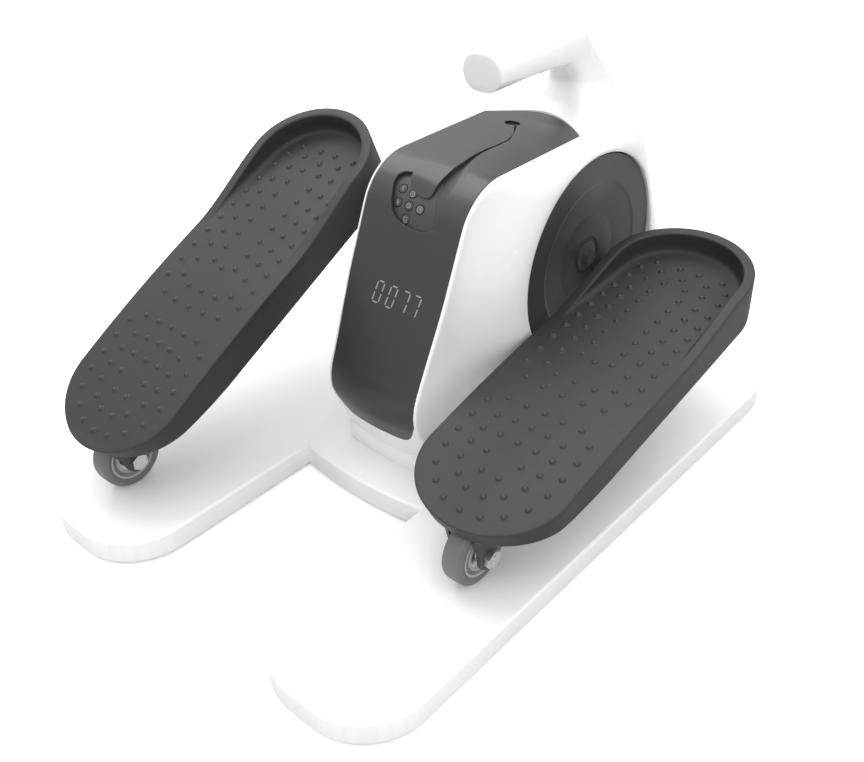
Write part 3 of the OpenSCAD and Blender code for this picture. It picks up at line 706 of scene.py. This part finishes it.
for sign, side in SIDES:
    add_mesh(side + "_cover_shell", housing_mesh(sign), SHELL_WHITE, "root",
             (side + "_housing",), angle=38)
add_mesh("grip_end_cap", grip_cap_mesh(), CAP_SHADED_WHITE, "root",
         ("handle_end_cap",))


# ---------------------------------------------------------------- front panel
# Built flat as (x, length up the face, height off it), then wrapped on the housing.
def running_mean(values, count):
    return np.convolve(np.pad(values, count // 2, "edge"), np.ones(count) / count, "valid")


def face_path():
    """Length, y, z and outward normal along the front, the slope and the top."""
    points = np.array(rounded(BODY, 60))[::-1]
    first = int(np.argmin((points[:, 0] + 47) ** 2 + (points[:, 1] - 38) ** 2))
    points = np.roll(points, -first, 0)
    travelled = np.r_[0, np.cumsum(np.linalg.norm(np.diff(points, axis=0), axis=1))]
    keep = np.r_[True, np.diff(travelled) > 1e-6]
    points, travelled = points[keep], travelled[keep]
    length = np.arange(0, 420, 0.25)
    y = np.interp(length, travelled, points[:, 0])
    z = np.interp(length, travelled, points[:, 1])
    # lengths count from the height of SLOPE_ZERO, on the front only
    zero = int(np.argmin(np.abs(z - SLOPE_ZERO[1]) + np.where(length > 150, 1e3, 0)))
    ty, tz = np.gradient(y), np.gradient(z)
    norm = np.hypot(ty, tz)
    return (length - length[zero], y, z,
            running_mean(-tz / norm, 9), running_mean(ty / norm, 9))


PATH, PATH_Y, PATH_Z, NORMAL_Y, NORMAL_Z = face_path()


def wrap(mesh):
    """Lays a flat mesh on the face of the housing."""
    vertices, faces = mesh
    x, along, height = vertices.T
    z = np.interp(along, PATH, PATH_Z)
    height = height + swell(x, z) * (along < 60)
    y = np.interp(along, PATH, PATH_Y) + height * np.interp(along, PATH, NORMAL_Y)
    z = z + height * np.interp(along, PATH, NORMAL_Z)
    # slight crown near the rear edge
    z = z + 1.6 * ease((along - 282) / 18) * (1 - ease((np.abs(x) - 8) / 28))
    return np.stack([x, y, z], 1), faces


on_top = (PATH > 190) & (PATH < 325)
on_front = PATH < 60
EDGE_X = np.linspace(-50, 50, 401)
EDGE_TOP = np.interp(panel_back(EDGE_X) - 0.3, PATH_Y[on_top], PATH[on_top])
EDGE_BOTTOM = np.interp(panel_low(EDGE_X) + 0.4, PATH_Z[on_front], PATH[on_front])

# groove up the face: a steep left wall and the right edge of its slanted floor
# (row of lengths, row of x)
GROOVE_WALL = ([120, 143, 148, 153, 162.5, 168, 177, 186, 196.5, 208, 219, 229, 241.8, 252,
                260, 266, 275],
               [8.6, 8.6, 8.8, 9.5, 9.9, 10.3, 10.3, 9.6, 7.4, 6.3, 6.5, 7.7, 7.5, 3.8,
                -1.5, -6.5, -9])
GROOVE_EDGE = ([120, 140, 145.5, 158.5, 170, 182.5, 196, 208, 219, 229, 242, 275],
               [21.5, 25.2, 26.4, 26.2, 23.5, 17.5, 12.5, 9.6, 8.8, 9.4, 9.0, -7.3])
GROOVE_S = np.arange(118, 276, 0.5)
wall_x = running_mean(np.interp(GROOVE_S, *GROOVE_WALL), 17)
edge_x = running_mean(np.interp(GROOVE_S, *GROOVE_EDGE), 17)
# keypad window and the tongue that reaches into it from above: (x, length)
WINDOW = [(-26, 156), (-26, 150), (-24, 144), (-22, 138), (-19, 130), (-14, 126), (-8, 124),
          (3, 122.3), (12, 123.3), (18, 125.3), (21, 128.3), (20.5, 133), (16.5, 141),
          (12.5, 150), (11.5, 161), (0, 162), (-14, 161.5), (-22, 160)]
TONGUE = [(9.5, 153), (8.6, 148.6), (6.4, 146.4), (0, 146.2), (-5.7, 148), (-11, 151.5),
          (-15, 156), (-16.5, 163), (-16, 175), (9.9, 175), (9.9, 162)]
WINDOW_ROUND = fillet(WINDOW, 2.0)
window = sampled(WINDOW_ROUND, 0.25)
tongue = sampled(fillet(TONGUE, 2.0, 5), 0.25)
membrane = sampled([(x * 1.07, 141 + (s - 141) * 1.09) for x, s in WINDOW_ROUND], 0.25)
PIT_X, PIT_S = -11, 270        # oval pit: centre and radii
PIT_RX, PIT_RS = 6.5, 4.5


def panel_field(x, along, height):
    top = np.interp(x, EDGE_X, EDGE_TOP)
    bottom = np.interp(x, EDGE_X, EDGE_BOTTOM)
    sides = np.abs(x) - panel_half(np.interp(along, PATH, PATH_Z)) + 0.3
    outline = common(sides, (along - top) * 0.9, (bottom - along) * 0.7)
    left = np.interp(along, GROOVE_S, wall_x)
    right = np.interp(along, GROOVE_S, edge_x)
    tongue_gap = tongue(x, along)

    # groove: deepest at its left wall, easing out to the right, deeper lower down
    u = np.clip((x - left) / np.maximum(right - left, 0.6), 0, 1.4)
    deepest = 1.3 + 1.9 * ease((222 - along) / 52)
    depth = deepest * (1 - ease(u)) - np.clip(u - 1, 0, 1)
    near = (along > 122) & (along < 268) & (x > left - 2) & (x < right + 3)
    backing = np.where(near, np.maximum(depth, 0) * ease((x - left + 2) / 2.0), 0)
    # the underside is thickened below the groove
    plate = smooth_max(outline, height, 1.0)
    plate = np.maximum(plate, -np.maximum(2.6, backing + 1.3) - height)

    foot = (along - 122.4 - 0.28 * (x - 8)) * 0.9
    groove = common(left - x, -(height + depth), -foot, along - 266)
    groove = np.where(x > right + 1.0, 5.0, groove)
    # the tongue's lower end is set down below the face
    drop = 1.9 * ease((162 - along - 0.12 * x) / 15.0)
    tongue_top = np.maximum(tongue_gap, -(height + drop))
    pit = np.sqrt(((x - PIT_X) / PIT_RX) ** 2 + ((along - PIT_S) / PIT_RS) ** 2)
    pit = np.maximum((pit - 1) * PIT_RS, -(height + 2.0))

    out = smooth_max(plate, -groove, 0.5)
    out = smooth_max(out, -np.maximum(window(x, along), -tongue_gap), 0.5)
    out = smooth_max(out, -tongue_top, 0.4)
    return smooth_max(out, -pit, 0.5)


def add_panel():
    step = grid_step(0.62)
    mesh = contour(panel_field, (-47, -62, -5.4), (47, 312, 1.3), (step, step, step * 0.9),
                   eps=0.02)
    centres = mesh[0][np.array(mesh[1])].mean(1)
    x, along, height = centres.T
    # the pit's faces, and those up to 0.4 beyond its wall, get black painted shade
    in_pit_shade = (((x - PIT_X) / (PIT_RX + 0.4)) ** 2
              + ((along - PIT_S) / (PIT_RS + 0.4)) ** 2 < 1) & (height < -0.35) & (height > -2.3)
    add_mesh("front_panel_face", wrap(mesh), [PANEL, PIT_SHADE], "root",
             ("front_panel", "display_window"), face_materials=in_pit_shade.astype(int))


# ---------------------------------------------------------------- keypad and digits
# key centres (x, length)
KEYS = {"centre": (-7.5, 137), "left": (-18, 137), "right": (3, 137), "down": (-7.5, 127),
        "up": (-7.5, 147), "power": (-18, 148)}
KEY_HOLE_R = 4.0
# key cap section with a flange below the membrane: (r, height, corner radius)
KEY_CAP = [(0, -6.5, 0), (4.55, -6.5, 0.2), (4.55, -5.25, 0.2), (3.45, -5.25, 0.15),
           (3.45, -2.92, 0.35), (0, -2.92, 0)]
# icons, from the key's centre: rings (x, length, inner r, outer r),
# then bars (x, length, size in x, size in length, turn in radians)
ICONS = {
    "centre": ([(0, 0, 1.2, 1.9)], [(0, 0, 0.7, 0.7, 0)]),
    "left": ([], [(0, 0, 0.8, 3.6, 0.25), (0.8, 0, 0.7, 2.0, -0.3)]),
    "right": ([(0, 0, 1.7, 2.5), (0, 0, 0.5, 1.0)], []),
    "down": ([], [(0, 1.4, 3.2, 0.6, 0), (0, -1.0, 3.2, 0.6, 0), (-1.3, 0.2, 0.6, 1.8, 0),
                  (1.3, 0.2, 0.6, 1.8, 0), (0.3, -2.1, 3.4, 0.5, 0)]),
    "up": ([(-0.4, -0.8, 1.5, 2.2)], [(-0.4, -0.8, 0.6, 1.6, 0)]),
    "power": ([], [(0, 0, 0.9, 3.0, 0.5), (0.9, 1.2, 1.3, 0.6, 0)]),
}
ICON_LOW, ICON_HIGH = -3.0, -2.80


def turned_up(profile, cx, cy, count):
    """Turns a profile of (r, height) about an upright axis at (cx, cy)."""
    vertices, faces = lathe(profile, count)
    return np.stack([vertices[:, 1] + cx, vertices[:, 2] + cy, vertices[:, 0]], 1), faces


def icon_ring(cx, cy, inner, outer):
    return turned_up([(inner, ICON_LOW), (outer, ICON_LOW), (outer, ICON_HIGH),
                      (inner, ICON_HIGH)], cx, cy, 40)


def icon_bar(cx, cy, width, length, turn):
    c, s = math.cos(turn), math.sin(turn)
    corners = [(-width / 2, -length / 2), (width / 2, -length / 2),
               (width / 2, length / 2), (-width / 2, length / 2)]
    points = [(cx + x * c - y * s, cy + x * s + y * c)
              for x, y in fillet(corners, 0.3 * min(width, length), 3)]
    return prism(points, ICON_LOW, ICON_HIGH)


def membrane_field(x, along, height):
    out = common(membrane(x, along), height + 3.2, -5.0 - height)
    for cx, cy in KEYS.values():
        out = np.maximum(out, KEY_HOLE_R - np.sqrt((x - cx) ** 2 + (along - cy) ** 2))
    return out


def add_keypad():
    step = grid_step(0.5)
    mesh = contour(membrane_field, (-31, 116, -6), (31, 167, -2), (step, step, step), eps=0.02)
    add_mesh("keypad_membrane", wrap(mesh), KEYPAD, "root", ("keypad_plate",))
    section = fillet([p[:2] for p in KEY_CAP], [p[2] for p in KEY_CAP], closed=False)
    for key, (cx, cy) in KEYS.items():
        add_mesh("key_cap_" + key, wrap(turned_up(section, cx, cy, 48)), KEYPAD,
                 "key_" + key, ("button_" + key,))
        rings, bars = ICONS[key]
        parts = [icon_ring(cx + x, cy + y, *rest) for x, y, *rest in rings]
        parts += [icon_bar(cx + x, cy + y, *rest) for x, y, *rest in bars]
        add_mesh("key_icon_" + key, wrap(join(parts)), ICON, "key_" + key)


DIGIT_W, DIGIT_H, STROKE, SLANT = 6.2, 16.0, 1.1, 0.16
DIGIT_S = 71.8    # length of the digits' centres up the face
# segments of a digit: (x, length, upright)
SEGMENTS = {"a": (0, DIGIT_H / 2, False), "b": (DIGIT_W / 2, DIGIT_H / 4, True),
            "c": (DIGIT_W / 2, -DIGIT_H / 4, True), "d": (0, -DIGIT_H / 2, False),
            "e": (-DIGIT_W / 2, -DIGIT_H / 4, True), "f": (-DIGIT_W / 2, DIGIT_H / 4, True)}
# the digits 0077: (centre x, lit segments)
READING = [(-13.7, "abcdef"), (-0.9, "abcdef"), (11.0, "abc"), (21.4, "abc")]


def digits_mesh():
    """Slanted strokes with pointed ends, just proud of the face."""
    parts = []
    edge = STROKE / 2
    for centre, lit in READING:
        for key in lit:
            segment_x, segment_s, upright = SEGMENTS[key]
            half = (DIGIT_H / 2 - 1.5 if upright else DIGIT_W - 1.3) / 2
            stroke = [(-half, 0), (-half + edge, -edge), (half - edge, -edge),
                      (half, 0), (half - edge, edge), (-half + edge, edge)]
            if upright:
                stroke = [(-y, x) for x, y in stroke]
            points = [(centre + segment_x + x + SLANT * (segment_s + y),
                       DIGIT_S + segment_s + y) for x, y in stroke]
            parts.append(prism(points, -0.3, 0.04))
    return join(parts)


add_panel()
add_keypad()
add_mesh("lit_digit_segments", wrap(digits_mesh()), DIGITS, "root",
         ("display_segments",))

# ---------------------------------------------------------------- base
FRONT_R, BACK_R = 48, 50      # corner radii of the base
ARM_WIDTH = 116               # width of the two arms that reach forward
BOW_R = 336.0                 # bowed front edge between the arms
BOW_Y = BASE_HIGH[1] - 335 - 5.4


def base_outline(inset):
    left, front = BASE_LOW[0] + inset, BASE_LOW[1] + inset
    right, back = BASE_HIGH[0] - inset, BASE_HIGH[1] - inset
    notch = BASE_HIGH[0] - ARM_WIDTH + inset
    front_r, back_r = FRONT_R - inset, BACK_R - inset
    bow_r, bow_centre = BOW_R - inset, BOW_Y + BOW_R

    def bow(x):
        return bow_centre - math.sqrt(bow_r * bow_r - x * x)

    out = arc(left + front_r, front + front_r, front_r, 180, 270, 24)
    out += arc(-notch - front_r, front + front_r, front_r, 270, 360, 24)
    out.append((-notch, bow(notch) - 20))
    for k in range(41):
        x = -notch + 2 * notch * k / 40
        out.append((x, bow(x)))
    out.append((notch, bow(notch) - 20))
    out += arc(notch + front_r, front + front_r, front_r, 180, 270, 24)
    out += arc(right - front_r, front + front_r, front_r, 270, 360, 24)
    out += arc(right - back_r, back - back_r, back_r, 0, 90, 24)
    return out + arc(left + back_r, back - back_r, back_r, 90, 180, 24)


def base_mesh():
    """The CAD base plate, trimmed by an envelope with rounded edges."""
    low, high = BASE_LOW[2], BASE_HIGH[2]
    # envelope: (inset, z)
    stations = [(1.6, low - 0.01), (0.5, low + 0.35), (-0.01, low + 1.3), (-0.01, high - 2.4),
                (0.18, high - 1.45), (0.7, high - 0.7), (1.45, high - 0.2), (2.4, high)]
    envelope = scratch(loft([[(x, y, z) for x, y in base_outline(inset)]
                             for inset, z in stations]))
    data = NODES["base_plate"].data
    plate = scratch((np.array([v.co[:] for v in data.vertices]) * 1000,
                     [list(p.vertices) for p in data.polygons]))
    for obj in (envelope, plate):
        clean(obj)
    return boolean(plate, envelope, "INTERSECT")


PLINTH_HALF, PLINTH_FRONT, PLINTH_BACK = 47.6, -49.6, 240.4
PLINTH_BOW, PLINTH_FRONT_R, PLINTH_BACK_R = 3.6, 9, 14


def plinth_outline(inset):
    half = PLINTH_HALF - inset
    out = []
    for k in range(25):
        x = -half + 2 * half * k / 24
        # 0 to 1 across the rounded front corner
        e = max(0.0, (abs(x) - (half - PLINTH_FRONT_R)) / PLINTH_FRONT_R)
        out.append((x, PLINTH_FRONT - PLINTH_BOW * (1 - (x / PLINTH_HALF) ** 2) + inset
                    + PLINTH_FRONT_R * (1 - math.sqrt(max(0.0, 1 - e * e)))))
    x, y = half - PLINTH_BACK_R, PLINTH_BACK - inset - PLINTH_BACK_R
    return out + arc(x, y, PLINTH_BACK_R, 0, 90, 12) + arc(-x, y, PLINTH_BACK_R, 90, 180, 12)


def plinth_mesh():
    """Ring round the foot of the housing."""
    low, high = (corner[2] for corner in node_box("plinth"))
    stations = [(0.3, low), (0.0, low + 0.5), (0.0, high - 1.6), (0.35, high - 0.8),
                (1.2, high - 0.05), (3.4, high - 0.05), (3.4, low)]
    return loft([[(x, y, z) for x, y in plinth_outline(inset)] for inset, z in stations], "loop")


add_mesh("base_body", base_mesh(), BASE_WHITE, "root", ("base_plate",), angle=28)
add_mesh("plinth_ring", plinth_mesh(), BASE_WHITE, "root", ("plinth",), angle=35)

# ---------------------------------------------------------------- pedals
PEDAL_LENGTH, PEDAL_WIDTH = 325.0, 114.0
END_LENGTH = 52.0             # length of each half-elliptical end
END_STEPS, SIDE_STEPS = 72, 44
EDGE_R, INNER_EDGE_R = 1.1, 1.6    # rounding of the rim's outer and inner edge
# underside of the pedal: row of u, row of h
UNDERSIDE = ([-20, 0, 15, 30, 46, 62, 80, 96, 400],
             [-11, -13, -15.9, -19.1, -22.1, -24.5, -26.2, -27, -27])


def sole(inset):
    """Outline (x, u): front end, right side, back end, left side."""
    a, b = PEDAL_WIDTH / 2 - inset, END_LENGTH - inset
    straight = PEDAL_LENGTH - 2 * END_LENGTH
    out = []
    for k in range(END_STEPS + 1):
        t = math.pi + math.pi * k / END_STEPS
        out.append((a * math.cos(t), END_LENGTH + b * math.sin(t)))
    for k in range(1, SIDE_STEPS):
        out.append((a, END_LENGTH + straight * k / SIDE_STEPS))
    for k in range(END_STEPS + 1):
        t = math.pi * k / END_STEPS
        out.append((a * math.cos(t), PEDAL_LENGTH - END_LENGTH + b * math.sin(t)))
    for k in range(1, SIDE_STEPS):
        out.append((-a, PEDAL_LENGTH - END_LENGTH - straight * k / SIDE_STEPS))
    return np.array(out)


def rim(u):
    """The rim rises towards the back."""
    return 17.0 * ease((u - 188) / 104.0)


def crown(u):
    """The sole is slightly crowned along its length."""
    return 3.9 - 6.8 * np.minimum(((u - 145) / 130.0) ** 2, 1.12)


def under(u):
    return np.interp(u, *UNDERSIDE)


def place(mesh, sign):
    """Moves a mesh from the pedal frame to the product's."""
    vertices, faces = mesh
    pose = POSES[sign]
    c, s = math.cos(pose["pitch"]), math.sin(pose["pitch"])
    u, h = vertices[:, 1] - AXLE_U, vertices[:, 2] - AXLE_H
    h = h + crown(vertices[:, 1]) * ease((vertices[:, 2] + 27) / 16)
    u = u - 1.2
    placed = np.stack([pose["x"] + sign * (vertices[:, 0] + 2.5),
                       pose["y"] + u * c - h * s, pose["z"] + u * s + h * c], 1)
    return placed, flipped(faces) if sign < 0 else faces


def sole_cap():
    """Strips across the middle of a ring, so that it follows the sole's crown."""
    half = END_STEPS // 2
    back = END_STEPS + SIDE_STEPS     # first point of the back end
    pairs = [(END_STEPS - j, j) for j in range(half - 1, -1, -1)]
    pairs += [(END_STEPS + 1 + k, 2 * back - 1 - k) for k in range(SIDE_STEPS - 1)]
    pairs += [(back + j, back + END_STEPS - j) for j in range(half)]
    faces = [[pairs[0][1], half, pairs[0][0]]]
    faces += [[l1, r1, r2, l2] for (r1, l1), (r2, l2) in zip(pairs[:-1], pairs[1:])]
    return faces + [[pairs[-1][1], pairs[-1][0], back + half]]


def tray_mesh():
    """Pedal body, from the middle of its lower face round the rim to the tread."""
    rings = []

    def ring(inset, height):
        outline = sole(inset)
        u = outline[:, 1]
        rings.append(np.stack([outline[:, 0], u, height(u)], 1))

    # recessed lower face: (inset, depth)
    for inset, depth in [(51, 7), (43, 7), (30, 7), (5.2, 7), (4.3, 7.3), (4.0, 8.2)]:
        ring(inset, lambda u: -depth - crown(u))
    # lower edge: (inset, height over the underside)
    for inset, lift in [(7.0, 0.6), (6.6, 0.1), (5.4, 0), (4.4, 0), (3.5, 0.35), (3.05, 1.3),
                        (2.9, 2.2)]:
        ring(inset, lambda u: under(u) + lift)
    # outer wall
    for q in (0.25, 0.5, 0.75):
        ring(2.9 * (1 - q),
             lambda u: under(u) + 2.2 + (rim(u) - EDGE_R - under(u) - 2.2) * q)
    for turn in np.radians((0, 22, 45, 67, 90)):
        ring(EDGE_R - EDGE_R * math.cos(turn),
             lambda u: rim(u) - EDGE_R + EDGE_R * math.sin(turn))
    # top of the rim and its inner edge
    ring(3.0, rim)
    ring(5.4, rim)
    for turn in np.radians((20, 45, 70, 90)):
        ring(6.6 + INNER_EDGE_R * math.sin(turn),
             lambda u: rim(u) - np.minimum(INNER_EDGE_R, rim(u) * 0.4) * (1 - math.cos(turn)))
    # foot of the rim: (inset, share of the rim's height, greatest height)
    for inset, share, limit in [(8.5, 0.5, math.inf), (8.9, 0.3, 3.4), (9.5, 0.2, 2.0),
                                (10.4, 0.1, 0.9), (11.6, 0.05, 0.4)]:
        ring(inset, lambda u: np.minimum(rim(u) * share, limit))
    for inset in (13.0, 17, 24, 34, 43, 49, 51):
        ring(inset, np.zeros_like)

    vertices, faces = loft(rings, "open")
    cap = sole_cap()
    last = len(vertices) - len(rings[-1])
    faces += flipped(cap) + [[last + i for i in face] for face in cap]
    return vertices, orient(vertices, faces)


# studs of the tread (x, u); those off the middle line are mirrored
STUDS = [(0, 13), (15, 15), (28, 23), (38, 35), (42, 50), (42.7, 65), (43, 80.5), (42, 96),
         (7.2, 28.5), (18.5, 35), (26.5, 47), (28.5, 60.5), (28.5, 74), (27, 88),
         (7.2, 45), (14.3, 59.5), (0, 75), (14.6, 75), (0, 90.5), (13.4, 90), (0, 105.5),
         (15, 105), (30, 105), (0, 125.5), (16.3, 126), (32, 128), (42, 141.5), (0, 141),
         (15.6, 141), (28, 147), (42.3, 157.5), (0, 164.5), (12.3, 168), (27.5, 163.5),
         (9, 270), (23.5, 269), (38, 266.5), (0, 281), (19, 283), (36, 281), (8, 292),
         (28, 291.5)]
STUD_R, STUD_H = 2.3, 2.0
# section of a stud: (share of STUD_R, height before scaling to STUD_H)
STUD = [(0, -0.6), (0.98, -0.6), (1.18, 0.0), (1.0, 0.22), (0.9, 0.75), (0.72, 1.32),
        (0.48, 1.75), (0.22, 1.98), (0, 2.05)]


def studs_mesh():
    places = []
    for x, u in STUDS:
        places.append((x, u))
        if x > 0:
            places.append((-x, u))
    # three rows on each side of the rear half
    for k in range(6):
        for sign in (-1, 1):
            places += [(sign * 12.5, 182 + 14.6 * k), (sign * 27.5, 179 + 14.7 * k),
                       (sign * 42.2 - sign * 0.5 * k, 173.5 + 15.1 * k)]
    # the part below the tread isn't scaled
    section = [(STUD_R * r, h * STUD_H / STUD[-1][1] if h > 0 else h) for r, h in STUD]
    return join([turned_up(section, x, u, 20) for x, u in places])


tray, studs = tray_mesh(), studs_mesh()
for sign, side in SIDES:
    add_mesh(side + "_pedal_body", place(tray, sign), PEDAL, side + "_pedal",
             (side + "_pedal_tray",), angle=42)
    add_mesh(side + "_tread_studs", place(studs, sign), TREAD, side + "_pedal",
             (side + "_tread_mat",), angle=42)


# ---------------------------------------------------------------- rollers and crank discs
def turned_at(profile, count, centre, sign=1):
    """Turns a profile of (r, x) about x at a centre; sign -1 mirrors it in x."""
    vertices, faces = lathe(profile, count)
    return vertices * [sign, 1, 1] + centre, flipped(faces) if sign < 0 else faces


HUB_R = 18
# hub section: (r, x, corner radius)
HUB_SECTION = [(11.02, -7.5, 0.2), (13.2, -7.5, 0.4), (13.9, -3.4, 0.5), (15.0, -3.4, 0.5),
               (16.2, -7.7, 0.5), (HUB_R - 0.02, -7.7, 0.3), (HUB_R - 0.02, 7.7, 0.3),
               (16.2, 7.7, 0.5), (15.0, 3.4, 0.5), (13.9, 3.4, 0.5), (13.2, 7.5, 0.4),
               (11.02, 7.5, 0.2)]


def add_roller(sign, side):
    low, high = node_box(side + "_roller_tyre")
    centre = [(low[0] + high[0]) / 2, POSES[sign]["y"], POSES[sign]["z"]]
    radius, half = (high[2] - low[2]) / 2, (high[0] - low[0]) / 2
    bore = HUB_R + 0.03
    tyre = [(bore, -half + 0.9, 0.3), (radius - 4.0, -half, 1.6),
            (radius - 0.5, -half + 1.8, 1.2), (radius, -half + 4.2, 1.5),
            (radius, half - 4.2, 1.5), (radius - 0.5, half - 1.8, 1.2),
            (radius - 4.0, half, 1.6), (bore, half - 0.9, 0.3)]
    add_mesh(side + "_roller_tread", turned_at(rounded(tyre, 4), 96, centre), TYRE,
             side + "_wheel", (side + "_roller_tyre",))
    add_mesh(side + "_roller_rim", turned_at(rounded(HUB_SECTION, 3), 96, centre), HUB,
             side + "_wheel", (side + "_roller_hub",))


# disc section: (r, x, corner radius)
DISC_SECTION = [(8.53, 52, 0), (17, 52, 0.5), (17, 56.5, 1), (30, 56.5, 2), (56, 60.4, 4),
                (76, 60.4, 1), (76, 57, 1), (81, 57, 0.6), (81, 65, 0.9), (79.2, 65.0, 0),
                (60, 65, 1.2), (57.5, 64.2, 1.2), (34, 61.2, 4), (15, 61, 0.3), (15, 60, 0.3),
                (8.53, 60, 0)]
PIN_BOSS_R, PIN_HOLE_R = 9.5, 7.0


def add_disc(sign, side):
    """Crank disc with a boss round the crank pin and a hole for it."""
    _, pin_y, pin_z = node_middle(side + "_crank_pin")
    pin = [0, pin_y, pin_z]
    boss = fillet([(0, 58), (PIN_BOSS_R, 58), (PIN_BOSS_R, 67.8), (0, 67.8)],
                  [0, 0.2, 0.9, 0], closed=False)
    hole = [(0, 58.6), (PIN_HOLE_R, 58.6), (PIN_HOLE_R, 75), (0, 75)]
    disc = turned_at(rounded(DISC_SECTION, 5), 160, [0, CRANK_Y, CRANK_Z], sign)
    disc = boolean(scratch(disc), scratch(turned_at(boss, 64, pin, sign)), "UNION")
    disc = boolean(scratch(disc), scratch(turned_at(hole, 64, pin, sign)), "DIFFERENCE")
    add_mesh(side + "_disc_face", disc, DISC, "crank",
             (side + "_crank_disc",), angle=30)


for sign, side in SIDES:
    add_roller(sign, side)
for sign, side in SIDES:
    add_disc(sign, side)

# ---------------------------------------------------------------- finishes of the CAD nodes
FINISHES = {
    STEEL: ["left_side_plate", "right_side_plate", "base_frame", "motor_bracket"],
    ZINC: ["base_bolts", "spacer_bars", "shaft_bearings", "housing_screws", "crankshaft",
           "sensor_magnet", "motor_pulley", "left_axle_pin", "right_axle_pin",
           "left_wheel_bearing", "right_wheel_bearing", "left_crank_pin", "right_crank_pin",
           "left_bracket_screws", "right_bracket_screws"],
    PAINT: ["disc_bolts", "left_pedal_bracket", "right_pedal_bracket", "left_roller_fork",
            "right_roller_fork"],
    RUBBER: ["rubber_feet", "drive_belt"],
    BLACK: ["power_inlet", "switch_bezel", "power_switch", "large_pulley", "speed_sensor"],
    BOARD: ["control_board", "display_board"],
    MOTOR: ["motor"],
}
for material, names in FINISHES.items():
    for name in names:
        node = NODES[name]
        if len(node.material_slots):
            for material_slot in node.material_slots:
                material_slot.material = material
        else:
            node.data.materials.append(material)


# ---------------------------------------------------------------- stage, light and camera
def floor_material():
    """Bright to the camera, a mid grey to all other rays."""
    material, tree, shader = new_material("floor_pale")
    set_inputs(shader, {"Base Color": (0.93, 0.93, 0.93, 1), "Roughness": 0.75,
                        "Specular IOR Level": 0.15, "Emission Color": (1, 1, 1, 1),
                        "Emission Strength": 0.3})
    rays = add_node(tree, "ShaderNodeLightPath")
    soft = add_node(tree, "ShaderNodeBsdfDiffuse", Color=(0.54, 0.54, 0.545, 1))
    mix = add_node(tree, "ShaderNodeMixShader")
    output = next(node for node in tree.nodes if node.type == "OUTPUT_MATERIAL")
    sources = (rays.outputs["Is Camera Ray"], soft.outputs[0], shader.outputs[0])
    for index, source in enumerate(sources):
        tree.links.new(source, mix.inputs[index])
    tree.links.new(mix.outputs[0], output.inputs["Surface"])
    return material


def add_floor(half=14):
    corners = [(-half, -half, 0), (half, -half, 0), (half, half, 0), (-half, half, 0)]
    floor = new_object("floor", new_mesh("floor", corners, [(0, 1, 2, 3)]))
    floor.data.materials.append(floor_material())


def add_world():
    """Light that brightens from the horizon upwards."""
    world = bpy.data.worlds.new("studio")
    bpy.context.scene.world = world
    world.use_nodes = True
    tree = world.node_tree
    background = tree.nodes["Background"]
    coords = add_node(tree, "ShaderNodeTexCoord")
    split = add_node(tree, "ShaderNodeSeparateXYZ")
    tree.links.new(coords.outputs["Generated"], split.inputs[0])
    sky = ramp(tree, split.outputs["Z"], 0.0, (0.40, 0.40, 0.406, 1), 0.85, grey(1))
    tree.links.new(sky, background.inputs["Color"])
    background.inputs["Strength"].default_value = 1.55


def add_area(name, location, target, size, power):
    light = bpy.data.lights.new(name, "AREA")
    light.shape = "RECTANGLE"
    light.size, light.size_y = size
    light.energy = power
    aim = Vector(target) - Vector(location)
    obj = bpy.data.objects.new(name, light)
    obj.location = location
    obj.rotation_euler = aim.to_track_quat("-Z", "Y").to_euler()
    bpy.context.scene.collection.objects.link(obj)


def add_camera(location, azimuth, elevation, roll, lens):
    """Angles in degrees; azimuth turns from -Y towards +X."""
    data = bpy.data.cameras.new("camera")
    data.sensor_width = 36.0
    data.lens = lens
    data.clip_start = 0.01
    camera = new_object("camera", data)
    azimuth, elevation, roll = (math.radians(a) for a in (azimuth, elevation, roll))
    back = Vector((math.sin(azimuth) * math.cos(elevation),
                   -math.cos(azimuth) * math.cos(elevation), math.sin(elevation)))
    right = (-back).cross(Vector((0, 0, 1))).normalized()
    up = right.cross(-back)
    axes = (right * math.cos(roll) + up * math.sin(roll),
            up * math.cos(roll) - right * math.sin(roll), back)
    matrix = Matrix(axes).transposed().to_4x4()
    matrix.translation = Vector(location)
    camera.matrix_world = matrix
    bpy.context.scene.camera = camera


add_floor()
add_world()
add_area("key", location=(-0.9, 0.3, 2.0), target=(0, 0, 0.1), size=(1.6, 1.6), power=20)
add_area("fill", location=(1.9, -1.3, 1.3), target=(0, 0, 0.15), size=(1.2, 1.2), power=7)
add_camera(location=(0.4514, -0.4965, 0.5179), azimuth=42.19005775, elevation=34.01861051,
           roll=-1.53805790, lens=43.10265445)
bpy.context.scene.view_settings.view_transform = "Standard"
